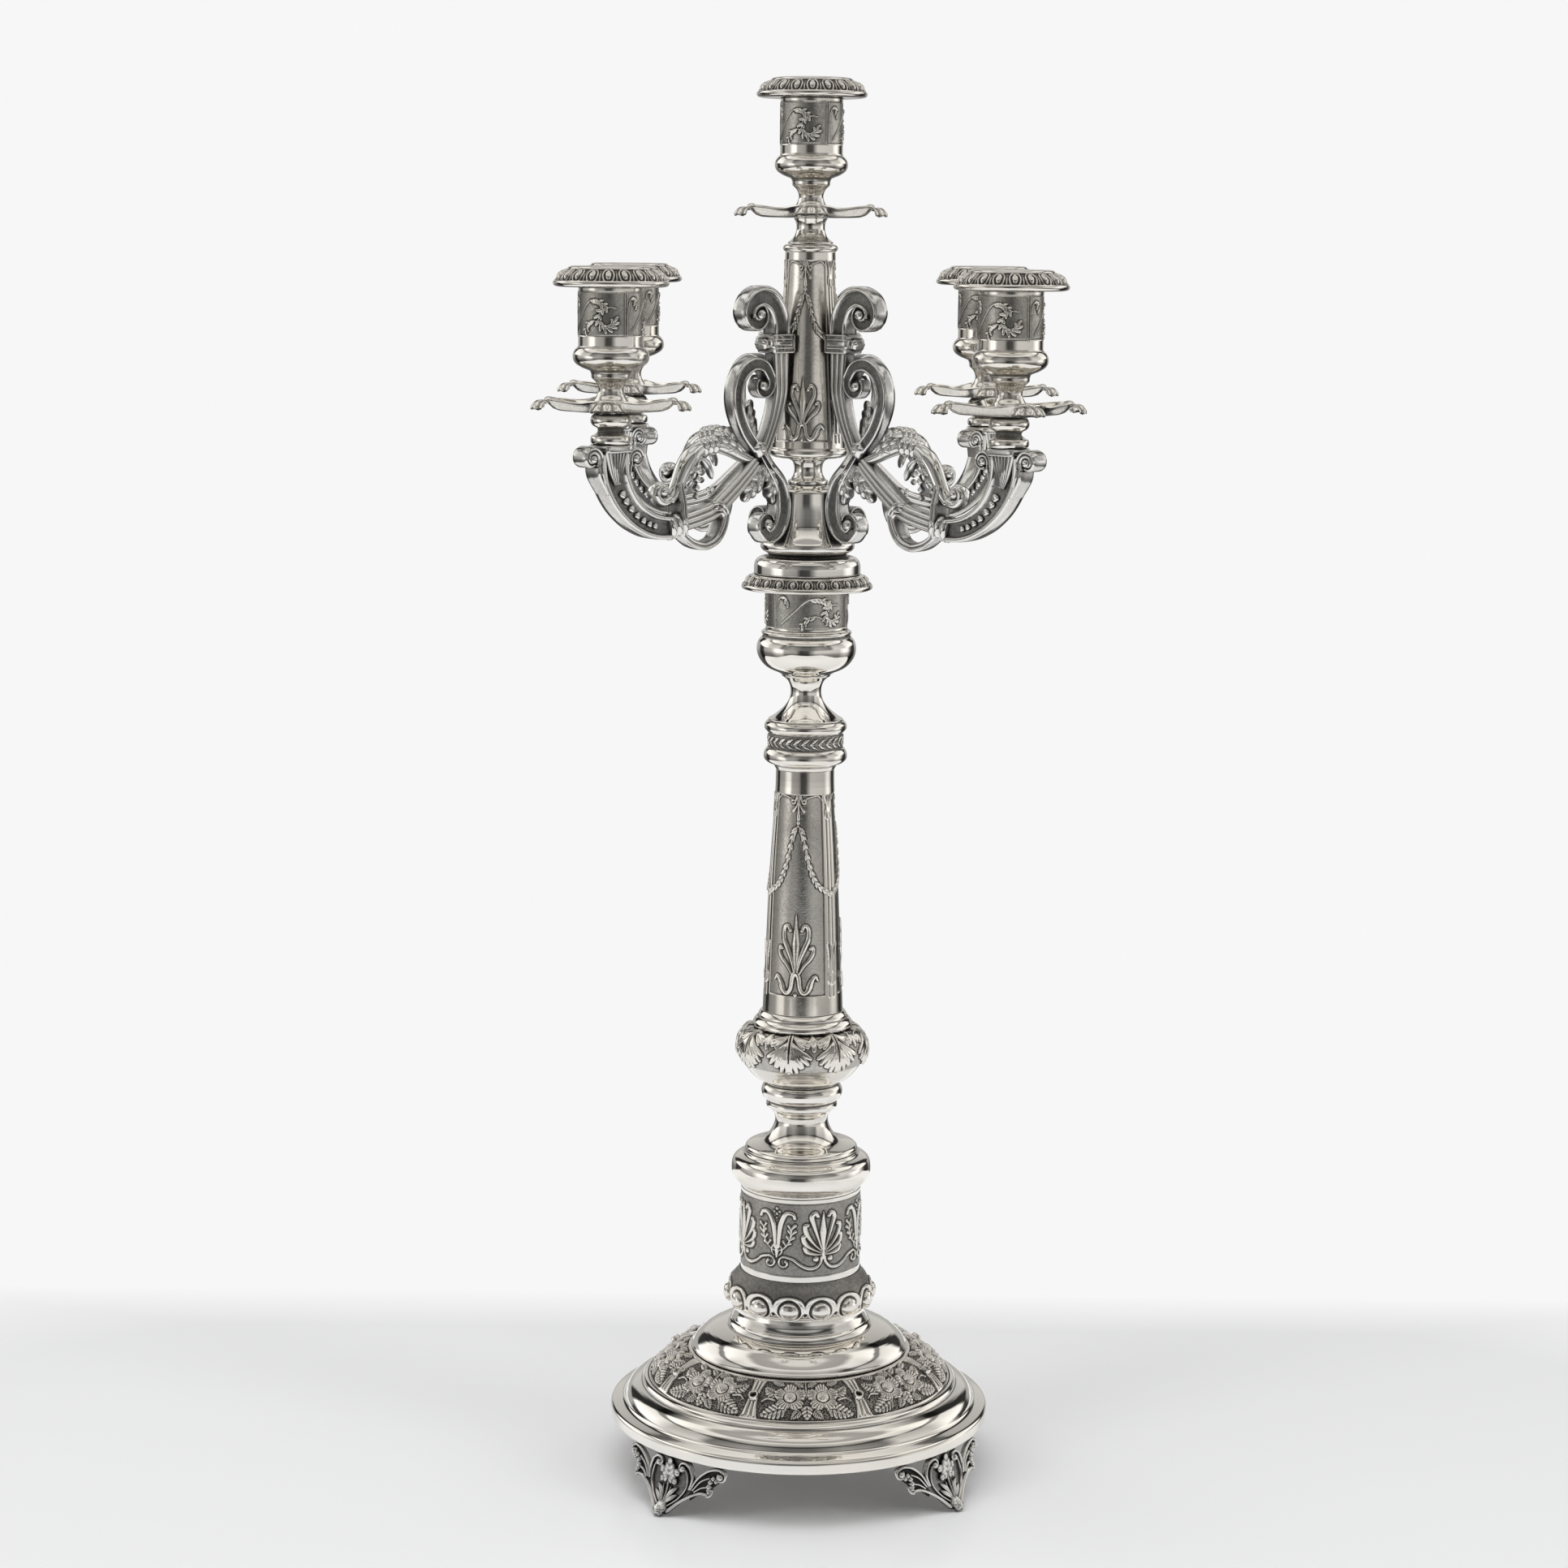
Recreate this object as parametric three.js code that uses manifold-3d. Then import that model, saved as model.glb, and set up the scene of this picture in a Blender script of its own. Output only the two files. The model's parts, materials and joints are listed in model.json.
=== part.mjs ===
// A five-light silver candelabrum in millimetres, +Z up, origin on the table at the centre of the foot.
// The candlestick is a stack of spun and turned pieces clamped by one long tie rod. Its socket takes a loose
// nozzle, and the branch section's plug drops into that nozzle, so the branches turn and lift off together.
import * as THREE from "three";
import { mergeVertices } from "three/addons/utils/BufferGeometryUtils.js";
import Module from "manifold-3d";

const wasm = await Module();
wasm.setup();

// ---- driving dimensions ----------------------------------------------------------------------------
const SEAM = 0.15; // gap left between two pieces that rest on each other
const BORE = 3.4; // radius of the hole that clears a tie rod
const ROD = 3.0; // tie rod radius
const NUT_ACROSS = 5.6; // nut corner radius
const NUT_HIGH = 4;

const RIM_R = 85.7; // outside radius of the foot's rim
const RIM_LOW = 24.8; // underside of the rim above the table
const FOOT_AZIMUTHS = { front_left: 229, front_right: 319, back_right: 49, back_left: 139 };
const TOE_R = 93.5; // radius from the axis to the middle of a toe
const FOOT_THICK = 3.4;
const FOOT_SPLAY = 9.4; // how far the foot of a bracket stands out beyond its top

const DOME_TOP = 75; // top plate of the base dome, where the stem stack starts
const SLEEVE_R = 27; // drum sleeve
const SLEEVE_TOP = 130.6;
const STEM_FOOT_R = 17.9; // lower column, foot and top radii
const STEM_TOP_R = 12.8;
const STEM_LOW = 212.05;
const STEM_HIGH = 320.9;
const SOCKET_FLOOR = 383.45; // main socket
const SOCKET_TOP = 400.6;
const MAIN_TUBE_R = 16.3; // tube of the loose nozzle in the main socket
const PLUG_R = 14;
const PLUG_LOW = 392;
const BRANCH_LOW = 407.45; // underside of the branch section's foot ring

const UPPER_LOW_R = 16.8; // upper column, foot and top radii
const UPPER_TOP_R = 10.9;
const UPPER_LOW = 464;
const UPPER_HIGH = 547;

const ARM_REACH = 116; // axis to the centre of a side light
const ARM_AZIMUTHS = { front_left: 225, front_right: 315, back_right: 45, back_left: 135 };
const PAN_LOW = { side: 481.7, centre: 561.6 }; // underside of each drip pan
const PAN_TURN = { front_left: 0, front_right: 12, back_right: 0, back_left: 0, centre: 0 };
const PAN_TIP = 36; // drip pan centre to shell tip
const PAN_WAIST = 18; // drip pan centre to the middle of a hollow side
const PAN_DEEP = 3.4;
const PAN_FLOOR = 1.2;
const CUP_R = 13.4; // candle cup, outside
const CUP_BORE = 12.6;
const CUP_TOP = 50.6; // above the drip pan's underside
const TUBE_R = 12.1; // nozzle tube, outside
const TUBE_LOW = 38; // its lower end, above the drip pan's underside
const CANDLE_R = 11.45; // corner radius of the twelve-sided candle hole: a 22 mm candle fits inside it

const SMALL_SEGMENTS = 12;
const STACK_SEGMENTS = 18;
const CURVE_STEPS = 2;

// ---- materials -------------------------------------------------------------------------------------
const metal = (color, roughness) => new THREE.MeshStandardMaterial({ color, roughness, metalness: 1 });
const POLISHED = metal(0xd8d4cc, 0.16);
const MATTED = metal(0x9a958c, 0.45);
const DARKENED = metal(0x6e6a64, 0.4);
const STEEL = metal(0x8c8c8e, 0.5);

// ---- helpers ---------------------------------------------------------------------------------------
const root = new THREE.Group();
const degrees = THREE.MathUtils.degToRad;

function add(name, geometry, material, parent = root) {
  const mesh = new THREE.Mesh(geometry, material);
  mesh.name = name;
  parent.add(mesh);
  return mesh;
}

// A path through [r, z] points. A four-number step is a curve: its control point, then its end.
function outline(steps) {
  const path = new THREE.Path();
  path.moveTo(...steps[0]);
  for (const step of steps.slice(1)) {
    if (step.length === 2) path.lineTo(...step);
    else path.quadraticCurveTo(...step);
  }
  return path.getPoints(CURVE_STEPS);
}

// A turned ring: an [r, z] section that runs up the outside, over the top and down the inside.
function turned(steps, segments = STACK_SEGMENTS) {
  const points = outline(steps);
  if (points[0].x > 0) points.push(points[0].clone());
  return new THREE.LatheGeometry(points, segments).rotateX(Math.PI / 2);
}

function solid(geometry) {
  const bare = geometry.index ? geometry.toNonIndexed() : geometry.clone();
  bare.deleteAttribute("normal");
  bare.deleteAttribute("uv");
  const merged = mergeVertices(bare, 1e-3);
  const mesh = new wasm.Mesh({
    numProp: 3,
    vertProperties: merged.attributes.position.array,
    triVerts: new Uint32Array(merged.index.array),
  });
  return new wasm.Manifold(mesh);
}

function geometryOf(manifold) {
  const mesh = manifold.getMesh();
  return new THREE.BufferGeometry()
    .setAttribute("position", new THREE.BufferAttribute(mesh.vertProperties, 3))
    .setIndex(new THREE.BufferAttribute(mesh.triVerts, 1));
}

const joined = (geometries) => geometries.map(solid).reduce((all, one) => all.add(one));

// A bar in the plane y = 0 along [r, z] points: wide in the plane, thick across it.
function bar(points, wide, thick, steps) {
  const curve = new THREE.CatmullRomCurve3(points.map(([r, z]) => new THREE.Vector3(r, 0, z)));
  const section = new THREE.Shape([
    new THREE.Vector2(-thick / 2, -wide / 2),
    new THREE.Vector2(thick / 2, -wide / 2),
    new THREE.Vector2(thick / 2, wide / 2),
    new THREE.Vector2(-thick / 2, wide / 2),
  ]);
  return new THREE.ExtrudeGeometry(section, { steps, extrudePath: curve, bevelEnabled: false });
}

// A round eye that ends a scroll: a short cylinder across the plane y = 0.
function eye([r, z], radius, thick) {
  return new THREE.CylinderGeometry(radius, radius, thick, SMALL_SEGMENTS).translate(r, 0, z);
}

function hexNut(low) {
  const hexagon = new THREE.Shape();
  for (let corner = 0; corner < 6; corner++) {
    const angle = (corner * Math.PI) / 3;
    const place = [NUT_ACROSS * Math.cos(angle), NUT_ACROSS * Math.sin(angle)];
    if (corner === 0) hexagon.moveTo(...place);
    else hexagon.lineTo(...place);
  }
  hexagon.holes.push(new THREE.Path().absarc(0, 0, BORE, 0, 2 * Math.PI, true));
  const nut = { depth: NUT_HIGH, bevelEnabled: false, curveSegments: SMALL_SEGMENTS };
  return new THREE.ExtrudeGeometry(hexagon, nut).translate(0, 0, low);
}

function rod(low, high) {
  const bar = new THREE.CylinderGeometry(ROD, ROD, high - low, SMALL_SEGMENTS);
  return bar.rotateX(Math.PI / 2).translate(0, 0, (low + high) / 2);
}

// ---- feet ------------------------------------------------------------------------------------------
// A cast bracket under the rim: a shield that splays out to its toe, with a scrolled wing on each side.
function foot() {
  const top = RIM_LOW - 0.3;
  const half = new THREE.Path();
  half.moveTo(4, 1.6);
  half.quadraticCurveTo(8, 8.4, 14, 11);
  half.lineTo(21.4, 11);
  half.lineTo(22, 16);
  half.quadraticCurveTo(31, 17.4, 28, top);
  const right = half.getPoints(CURVE_STEPS + 1);
  const left = right.map((p) => new THREE.Vector2(-p.x, p.y)).reverse();
  const shield = new THREE.Shape([...right, ...left]);
  const plate = new THREE.ExtrudeGeometry(shield, { depth: FOOT_THICK, bevelEnabled: false, steps: 1 });
  const at = plate.attributes.position;
  for (let i = 0; i < at.count; i++) {
    const [across, up, depth] = [at.getX(i), at.getY(i), at.getZ(i)];
    const fall = 1 - up / top;
    const radius = RIM_R - FOOT_THICK + FOOT_SPLAY * fall * fall + depth;
    const angle = across / RIM_R;
    at.setXYZ(i, radius * Math.cos(angle), radius * Math.sin(angle), up);
  }
  const toe = new THREE.CylinderGeometry(3.4, 4.4, 6, 10).rotateX(-Math.PI / 2).translate(TOE_R, 0, 3);
  return geometryOf(joined([plate, toe]));
}
for (const [where, azimuth] of Object.entries(FOOT_AZIMUTHS)) {
  add(`foot_${where}`, foot(), DARKENED).rotation.z = degrees(azimuth);
}

// ---- base ------------------------------------------------------------------------------------------
add("base_rim", turned([
  [RIM_R, RIM_LOW], [RIM_R, 29.6], [84.3, 30.6], [80.6, 31.4], [80.4, 39.6, 71.4, 40.3],
  [70.6, 41.6], [68.6, 42.2], [68.6, 40.2], [66, 40.2], [66, 38.8], [70, 38.6],
  [78.6, 38, 79, 29.8], [83.8, 29], [83.8, RIM_LOW],
]), POLISHED);

add("flower_band", turned([
  [68.3, 40.35], [68, 42.4], [60.4, 50.4, 49.6, 55.25], [46.5, 55.25], [46.5, 53.8],
  [49.2, 53.8], [57.6, 49.6], [66.4, 40.35],
]), MATTED);

add("base_dome", turned([
  [48.9, 55.4], [48.9, 56.6], [47.8, 65.4, 33.2, 66.2], [32.8, 67.4], [28.9, 69, 28.6, DOME_TOP],
  [BORE, DOME_TOP], [BORE, 73.4], [27.2, 73.4], [31, 65], [43.4, 62], [47.3, 55.4],
]), POLISHED);

add("bead_ring", turned([
  [28, DOME_TOP + SEAM], [30, 75.6], [34.9, 81, 31.4, 87.5], [29.6, 91.5, 27.6, 92.4], [BORE, 92.4],
  [BORE, 90.6], [26.4, 90.6], [30, 82], [26.5, DOME_TOP + SEAM],
]), DARKENED);

add("drum_sleeve", turned([
  [SLEEVE_R, 92.55], [SLEEVE_R, SLEEVE_TOP], [SLEEVE_R - 1.2, SLEEVE_TOP], [SLEEVE_R - 1.2, 92.55],
]), MATTED);

add("drum_cap", turned([
  [26.9, SLEEVE_TOP + SEAM], [27.2, 132.6], [31.6, 134, 31.4, 139.5], [31, 144.8, 27, 146.2],
  [25.4, 147.2], [BORE, 147.2], [BORE, 145.6], [25, 145.6], [29.4, 140], [25.6, 133.4],
  [25.6, SLEEVE_TOP + SEAM],
]), POLISHED);

// ---- stem ------------------------------------------------------------------------------------------
add("trumpet_stem", turned([
  [25, 147.35], [25.1, 149.4], [23.6, 150.2], [14.4, 151.2, 12.2, 158], [10.6, 163.4, 14.2, 166.9],
  [BORE, 166.9], [BORE, 147.35],
]), POLISHED);

add("knop_collar", turned([
  [15.5, 167.05], [15.6, 169.6], [16.3, 170.2], [19.7, 174, 16.9, 178.2], [15.6, 178.9],
  [BORE, 178.9], [BORE, 167.05],
]), POLISHED);

add("leaf_knop", turned([
  [17.6, 179.05], [24, 181.4, 27, 188.3], [27.6, 188.7], [31.9, 196.5, 25.2, 203], [23.7, 203.9],
  [BORE, 203.9], [BORE, 202.4], [23, 202.4], [27, 194], [22, 183.6], [16.2, 179.05],
]), MATTED);

add("column_foot_ring", turned([
  [21.6, 204.05], [22.8, 206.8, 20.6, 209.4], [18.6, 210.2, 18.4, STEM_LOW - SEAM],
  [BORE, STEM_LOW - SEAM], [BORE, 204.05],
]), POLISHED);

add("lower_column", turned([
  [STEM_FOOT_R, STEM_LOW], [STEM_TOP_R, STEM_HIGH], [STEM_TOP_R - 1.2, STEM_HIGH],
  [STEM_FOOT_R - 1.2, STEM_LOW],
]), MATTED);

add("column_capital", turned([
  [13.2, STEM_HIGH + SEAM], [13.6, 323, 16.2, 323.6], [20.6, 327, 17, 330.6], [16.6, 331.2],
  [16.6, 337.6], [19.9, 340.2, 17.2, 342.6], [BORE, 342.6], [BORE, STEM_HIGH + SEAM],
]), POLISHED);

add("urn_neck", turned([
  [16.6, 342.75], [7.2, 345.8, 6.6, 354.4], [6.4, 359.5, 9.8, 361.6], [10.4, 363.2],
  [BORE, 363.2], [BORE, 342.75],
]), POLISHED);

add("urn_bowl", turned([
  [10.6, 363.35], [21.6, 365.6, 21.9, 374.2], [21.8, 378.6, 19.2, 380.2], [19.8, 382.2],
  [18.4, SOCKET_FLOOR - SEAM], [BORE, SOCKET_FLOOR - SEAM], [BORE, 381.9], [17, 381.9],
  [20.2, 374.2], [15.6, 367.4], [9.4, 363.35],
]), POLISHED);

add("main_socket", turned([
  [18, SOCKET_FLOOR], [18, SOCKET_TOP], [16.8, SOCKET_TOP], [16.8, 385], [BORE, 385],
  [BORE, SOCKET_FLOOR],
]), MATTED);

// ---- tie rod of the candlestick --------------------------------------------------------------------
const WASHER_R = 20;
add("base_washer", turned([[WASHER_R, 71.6], [WASHER_R, 73.25], [BORE, 73.25], [BORE, 71.6]]), STEEL);
add("base_nut", hexNut(71.6 - SEAM - NUT_HIGH), STEEL);
add("base_tie_rod", rod(64, 390), STEEL);
add("socket_nut", hexNut(385 + SEAM), STEEL);

// ---- loose nozzle of the main socket ---------------------------------------------------------------
add("main_nozzle", turned([
  [MAIN_TUBE_R, 386], [MAIN_TUBE_R, SOCKET_TOP + SEAM], [26.5, SOCKET_TOP + SEAM], [28.7, 401.3],
  [28.8, 402.4], [28.2, 403.4], [27.6, 406.8, 24.6, BRANCH_LOW - SEAM],
  [PLUG_R + 0.6, BRANCH_LOW - SEAM], [PLUG_R + 0.6, 386],
]), POLISHED);

// ---- branch section: plug, urn and upper column ------------------------------------------------------
const NUT_POCKET = 7.2; // room in the plug for the lower nut
const NUT_ROOF = 399;
add("branch_plug", turned([
  [PLUG_R - 0.5, PLUG_LOW], [PLUG_R, BRANCH_LOW], [23.3, BRANCH_LOW], [23.3, 409.8],
  [23.2, 414, 20.2, 415.2], [17, 416.3], [BORE, 416.3], [BORE, NUT_ROOF],
  [NUT_POCKET, NUT_ROOF], [NUT_POCKET, PLUG_LOW],
]), POLISHED);

add("branch_urn", turned([
  [17, 416.45], [21.8, 418, 20.2, 421.2], [15.6, 425.2, 14.2, 433], [13.6, 439, 13.6, 444.2],
  [9.6, 446.6], [BORE, 446.6], [BORE, 445], [12.2, 443.6], [12.6, 433],
  [15.4, 416.45],
]), POLISHED);

add("branch_neck", turned([
  [8.6, 446.75], [8.6, 448.4], [6.1, 449, 6, 452.4], [6, 456.6, 8.6, 458.1],
  [BORE, 458.1], [BORE, 446.75],
]), POLISHED);

add("upper_column", turned([
  [12, 458.25], [17.7, 460], [17.7, 461.6], [UPPER_LOW_R, 462.8], [UPPER_LOW_R, UPPER_LOW],
  [UPPER_TOP_R, UPPER_HIGH], [UPPER_TOP_R - 1.2, UPPER_HIGH], [UPPER_LOW_R - 1.3, UPPER_LOW],
  [UPPER_LOW_R - 1.3, 461.2], [BORE, 460.2], [BORE, 458.25],
]), MATTED);

add("upper_column_cap", turned([
  [11, UPPER_HIGH + SEAM], [12.8, 548.6, 10.4, 550.4], [BORE, 550.4], [BORE, UPPER_HIGH + SEAM],
]), POLISHED);

const CENTRE_SEAT = PAN_LOW.centre - SEAM;
add("finial_neck", turned([
  [9.8, 550.55], [9.6, 551.6], [6.2, 553.4, 6, 557.4], [6.1, 560, 7.2, CENTRE_SEAT],
  [BORE, CENTRE_SEAT], [BORE, 550.55],
]), POLISHED);

add("branch_tie_rod", rod(393, 554.5), STEEL);
add("branch_nut", hexNut(NUT_ROOF - SEAM - NUT_HIGH), STEEL);

// ---- scroll brackets and branches ------------------------------------------------------------------
// Both lie in one upright plane through the axis. They meet at a round boss, where the branch's root is cut
// back to a clearance circle round it.
const BOSS = [32, 462];
const BOSS_R = 6;
const CLASP_LOW = 504;
const CLASP_HIGH = 512;
const SEAT_LOW = 468.3; // underside of the bulb under a side light

function bracket() {
  const [bossR, bossZ] = BOSS;
  const clasp = new THREE.BoxGeometry(12, 10.4, CLASP_HIGH - CLASP_LOW);
  clasp.translate(18.7, 0, (CLASP_LOW + CLASP_HIGH) / 2);
  // the clasp is hollowed to sit against the upper column
  const slope = (UPPER_TOP_R - UPPER_LOW_R) / (UPPER_HIGH - UPPER_LOW);
  const columnR = (z) => UPPER_LOW_R + slope * (z - UPPER_LOW) + 0.3;
  const [low, high] = [CLASP_LOW - 1, CLASP_HIGH + 1];
  const clearance = turned([[0, low], [columnR(low), low], [columnR(high), high], [0, high]]);
  const whole = joined([
    eye(BOSS, BOSS_R, 7),
    bar([[bossR + 2, bossZ + 2], [40.5, 472], [44.9, 482], [45.1, 489.5], [41.6, 496.4], [35.4, 500],
      [29.4, 498.6], [26.6, 493]], 3.8, 5, 10), // C-scroll
    eye([30, 489], 4.8, 6.4),
    bar([[bossR - 2, bossZ + 2], [25.4, 469.5], [21.6, 480], [20, 492], [20, 510]], 5.2, 5, 5), // upright
    clasp,
    new THREE.SphereGeometry(2.6, 6, 4).translate(26.6, 0, 508),
    bar([[20, 508], [20.4, 518], [24, 525.6], [30.4, 528.6], [36.4, 525.4], [37.4, 519.4]], 5, 7, 7),
    eye([33.4, 519.2], 4.4, 7.6), // top scroll
    bar([[bossR - 2, bossZ - 2], [26, 453.6], [20.4, 446.8], [17.2, 439.6], [17.2, 432.6], [20.4, 427.2],
      [25.4, 425.6]], 4.8, 5.4, 7), // strut, curling against the urn
    eye([26, 430], 5.4, 7.6),
    bar([[23, 451], [29, 450], [34, 446.6], [36.6, 442]], 4, 6, 4), // acanthus leaf
  ]);
  return geometryOf(whole.subtract(solid(clearance)));
}

function branch() {
  const parts = joined([
    bar([[34, 457.6], [46, 447.5], [60, 438.4], [72, 434.4], [84, 432.4]], 7, 6, 5), // reeded root
    bar([[76.6, 433.4], [85, 432.2]], 12, 9.4, 1), // triple collar
    bar([[84, 432.2], [92, 433.2], [99.4, 436], [107, 441], [113, 448], [116, 456], [ARM_REACH, 465.6]],
      10, 7.6, 7),
    new THREE.BoxGeometry(15, 13, 3.2).translate(ARM_REACH, 0, SEAT_LOW - SEAM - 1.6), // square cap
    eye([126.2, 463], 4.8, 8.6), // outer and inner volutes under the pan seat
    eye([108, 463], 4.4, 8.6),
    bar([[35, 459.6], [42, 461.6], [50, 464.4], [57, 465.8], [64, 464.4], [70, 460], [75, 454],
      [80, 448], [84, 445.4], [88.4, 445]], 5.6, 6, 9), // arched tendril
    eye([88.4, 448.6], 4.4, 7),
    bar([[86, 445], [81, 439], [77.4, 430.4], [71.4, 425.2], [64.4, 423.4], [57.8, 425.2], [54, 430.4],
      [53.6, 439]], 3.4, 5, 8), // ribbon that loops under the branch
  ]);
  return geometryOf(parts.subtract(solid(eye(BOSS, BOSS_R + 0.3, 20))));
}

// The turned bulb that a side light's drip pan rests on.
const seatTop = PAN_LOW.side - SEAM;
const panSeat = () => turned([
  [7.6, SEAT_LOW], [8.4, 469], [8.4, 472.2], [6.4, 473], [4.8, 474, 5.6, 475.6], [8.6, 477, 7.9, 479.6],
  [6.5, seatTop], [BORE, seatTop], [BORE, SEAT_LOW],
], SMALL_SEGMENTS);

// ---- lights ----------------------------------------------------------------------------------------
// A square drip pan with hollow sides. Each corner runs out to a shell. Its rim stands over a thin floor.
function dripPan() {
  // half of one corner's edge as [radius, angle from the corner]: shell, neck, then the hollow side
  const edge = [[PAN_TIP - 0.6, 0.09], [PAN_TIP - 3, 0.17], [PAN_TIP - 7, 0.14], [PAN_TIP - 9, 0.2],
    [PAN_WAIST + 2, 0.46]];
  const pan = new THREE.Shape();
  const dish = new THREE.Shape();
  const wall = 2.2;
  for (let side = 0; side < 4; side++) {
    const turn = (side * Math.PI) / 2;
    const at = (r, angle) => [r * Math.cos(turn + angle), r * Math.sin(turn + angle)];
    if (side === 0) pan.moveTo(...at(PAN_TIP, 0));
    else pan.lineTo(...at(PAN_TIP, 0));
    for (const [r, angle] of edge) pan.lineTo(...at(r, angle));
    pan.lineTo(...at(PAN_WAIST, Math.PI / 4));
    for (const [r, angle] of edge.toReversed()) pan.lineTo(...at(r, Math.PI / 2 - angle));
    if (side === 0) dish.moveTo(...at(PAN_WAIST + 3, 0));
    else dish.lineTo(...at(PAN_WAIST + 3, 0));
    dish.lineTo(...at(PAN_WAIST - wall, Math.PI / 4));
  }
  pan.holes.push(new THREE.Path().absarc(0, 0, BORE, 0, 2 * Math.PI, true));
  const whole = new THREE.ExtrudeGeometry(pan, { depth: PAN_DEEP, bevelEnabled: false, curveSegments: 5 });
  const hollow = new THREE.ExtrudeGeometry(dish, { depth: PAN_DEEP, bevelEnabled: false });
  return geometryOf(solid(whole).subtract(solid(hollow.translate(0, 0, PAN_FLOOR))));
}

// The candle cup, with a spigot that goes down through the drip pan. Heights are above the pan's underside.
const candleSocket = () => turned([
  [0, -5], [ROD, -5], [ROD, 1.35], [7.4, 1.35], [5.1, 3.4, 5.2, 8.4], [5.4, 12, 7.8, 13.2],
  [8.2, 15.8], [15.8, 17.4, 15.8, 21.8], [15.6, 25, CUP_R, 26.4], [CUP_R, CUP_TOP],
  [CUP_BORE, CUP_TOP], [CUP_BORE, 27.6], [0, 27.6],
], SMALL_SEGMENTS);

// The loose nozzle: a tube in the cup under a gadrooned collar that catches the wax.
const candleNozzle = () => turned([
  [TUBE_R, TUBE_LOW], [TUBE_R, CUP_TOP + SEAM], [22.4, CUP_TOP + SEAM], [23.6, 51.8], [22.8, 53],
  [21, 57, 15, 57.6], [14.6, 59.3], [CANDLE_R, 59.3], [CANDLE_R, TUBE_LOW],
], SMALL_SEGMENTS);

function light(where, parent, low, azimuth = 0) {
  const pan = add(`drip_pan_${where}`, dripPan(), DARKENED, parent);
  pan.rotation.z = degrees(PAN_TURN[where] - azimuth);
  pan.position.z = low;
  add(`candle_socket_${where}`, candleSocket(), POLISHED, parent).position.z = low;
  add(`candle_nozzle_${where}`, candleNozzle(), POLISHED, parent).position.z = low;
}

light("centre", root, PAN_LOW.centre);
for (const [where, azimuth] of Object.entries(ARM_AZIMUTHS)) {
  const arm = new THREE.Group();
  arm.rotation.z = degrees(azimuth);
  root.add(arm);
  add(`scroll_bracket_${where}`, bracket(), DARKENED, arm);
  add(`branch_arm_${where}`, branch(), DARKENED, arm);
  const end = new THREE.Group();
  end.position.x = ARM_REACH;
  arm.add(end);
  add(`pan_seat_${where}`, panSeat(), POLISHED, end);
  light(where, end, PAN_LOW.side, azimuth);
}

export default root;
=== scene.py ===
"""A five-light silver candelabrum. Every piece stands where its CAD node does.

Lengths inside this script are millimetres; make() turns them into metres. Angles called "turn" are degrees
seen from above, counted from the front (-Y) towards the right (+X).
"""

import json
import math

import bpy
import numpy as np
from mathutils import Euler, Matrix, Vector


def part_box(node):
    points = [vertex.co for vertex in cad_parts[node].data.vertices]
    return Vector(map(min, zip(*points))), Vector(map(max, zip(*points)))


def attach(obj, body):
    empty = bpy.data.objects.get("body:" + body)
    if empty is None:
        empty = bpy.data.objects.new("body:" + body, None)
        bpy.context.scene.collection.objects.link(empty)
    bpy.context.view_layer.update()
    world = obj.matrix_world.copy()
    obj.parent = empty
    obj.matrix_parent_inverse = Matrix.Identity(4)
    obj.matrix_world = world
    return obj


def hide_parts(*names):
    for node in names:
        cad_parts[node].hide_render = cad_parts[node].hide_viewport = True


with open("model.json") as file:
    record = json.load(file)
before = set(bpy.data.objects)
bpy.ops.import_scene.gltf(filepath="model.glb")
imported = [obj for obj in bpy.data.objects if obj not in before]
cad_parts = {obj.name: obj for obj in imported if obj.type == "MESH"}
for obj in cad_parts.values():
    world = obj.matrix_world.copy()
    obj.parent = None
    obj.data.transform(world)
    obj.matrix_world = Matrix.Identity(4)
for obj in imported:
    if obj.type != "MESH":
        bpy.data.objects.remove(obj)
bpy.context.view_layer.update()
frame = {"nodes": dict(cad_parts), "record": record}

MM = 0.001
FRONT = -90.0  # the front's azimuth in degrees from +X
LIGHTS = {"centre": None, "front_left": 225, "front_right": 315, "back_right": 45, "back_left": 135}
ARMS = {where: azimuth for where, azimuth in LIGHTS.items() if azimuth is not None}
BODY_OF = {node: body for body, nodes in frame["record"]["behaviour"]["bodies"].items() for node in nodes}


# ---- meshes ------------------------------------------------------------------------------------------
def low_of(node):
    """The height of a node's foot."""
    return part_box(node)[0][2] / MM


def centre_of(node):
    low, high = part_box(node)
    return (low[0] + high[0]) / 2 / MM, (low[1] + high[1]) / 2 / MM


def grid_faces(rows, columns, wrap_rows=True, wrap_columns=True):
    i = np.arange(rows if wrap_rows else rows - 1)[:, None]
    j = np.arange(columns if wrap_columns else columns - 1)[None, :]
    i2, j2 = (i + 1) % rows, (j + 1) % columns
    corners = [i * columns + j, i * columns + j2, i2 * columns + j2, i2 * columns + j]
    return np.stack(corners, -1).reshape(-1, 4)


def sheet_faces(rows, columns):
    """A tube of rows closed by a face at both ends."""
    ends = [np.arange(columns)[None, ::-1], (rows - 1) * columns + np.arange(columns)[None]]
    return [grid_faces(rows, columns, wrap_rows=False)] + ends


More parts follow.
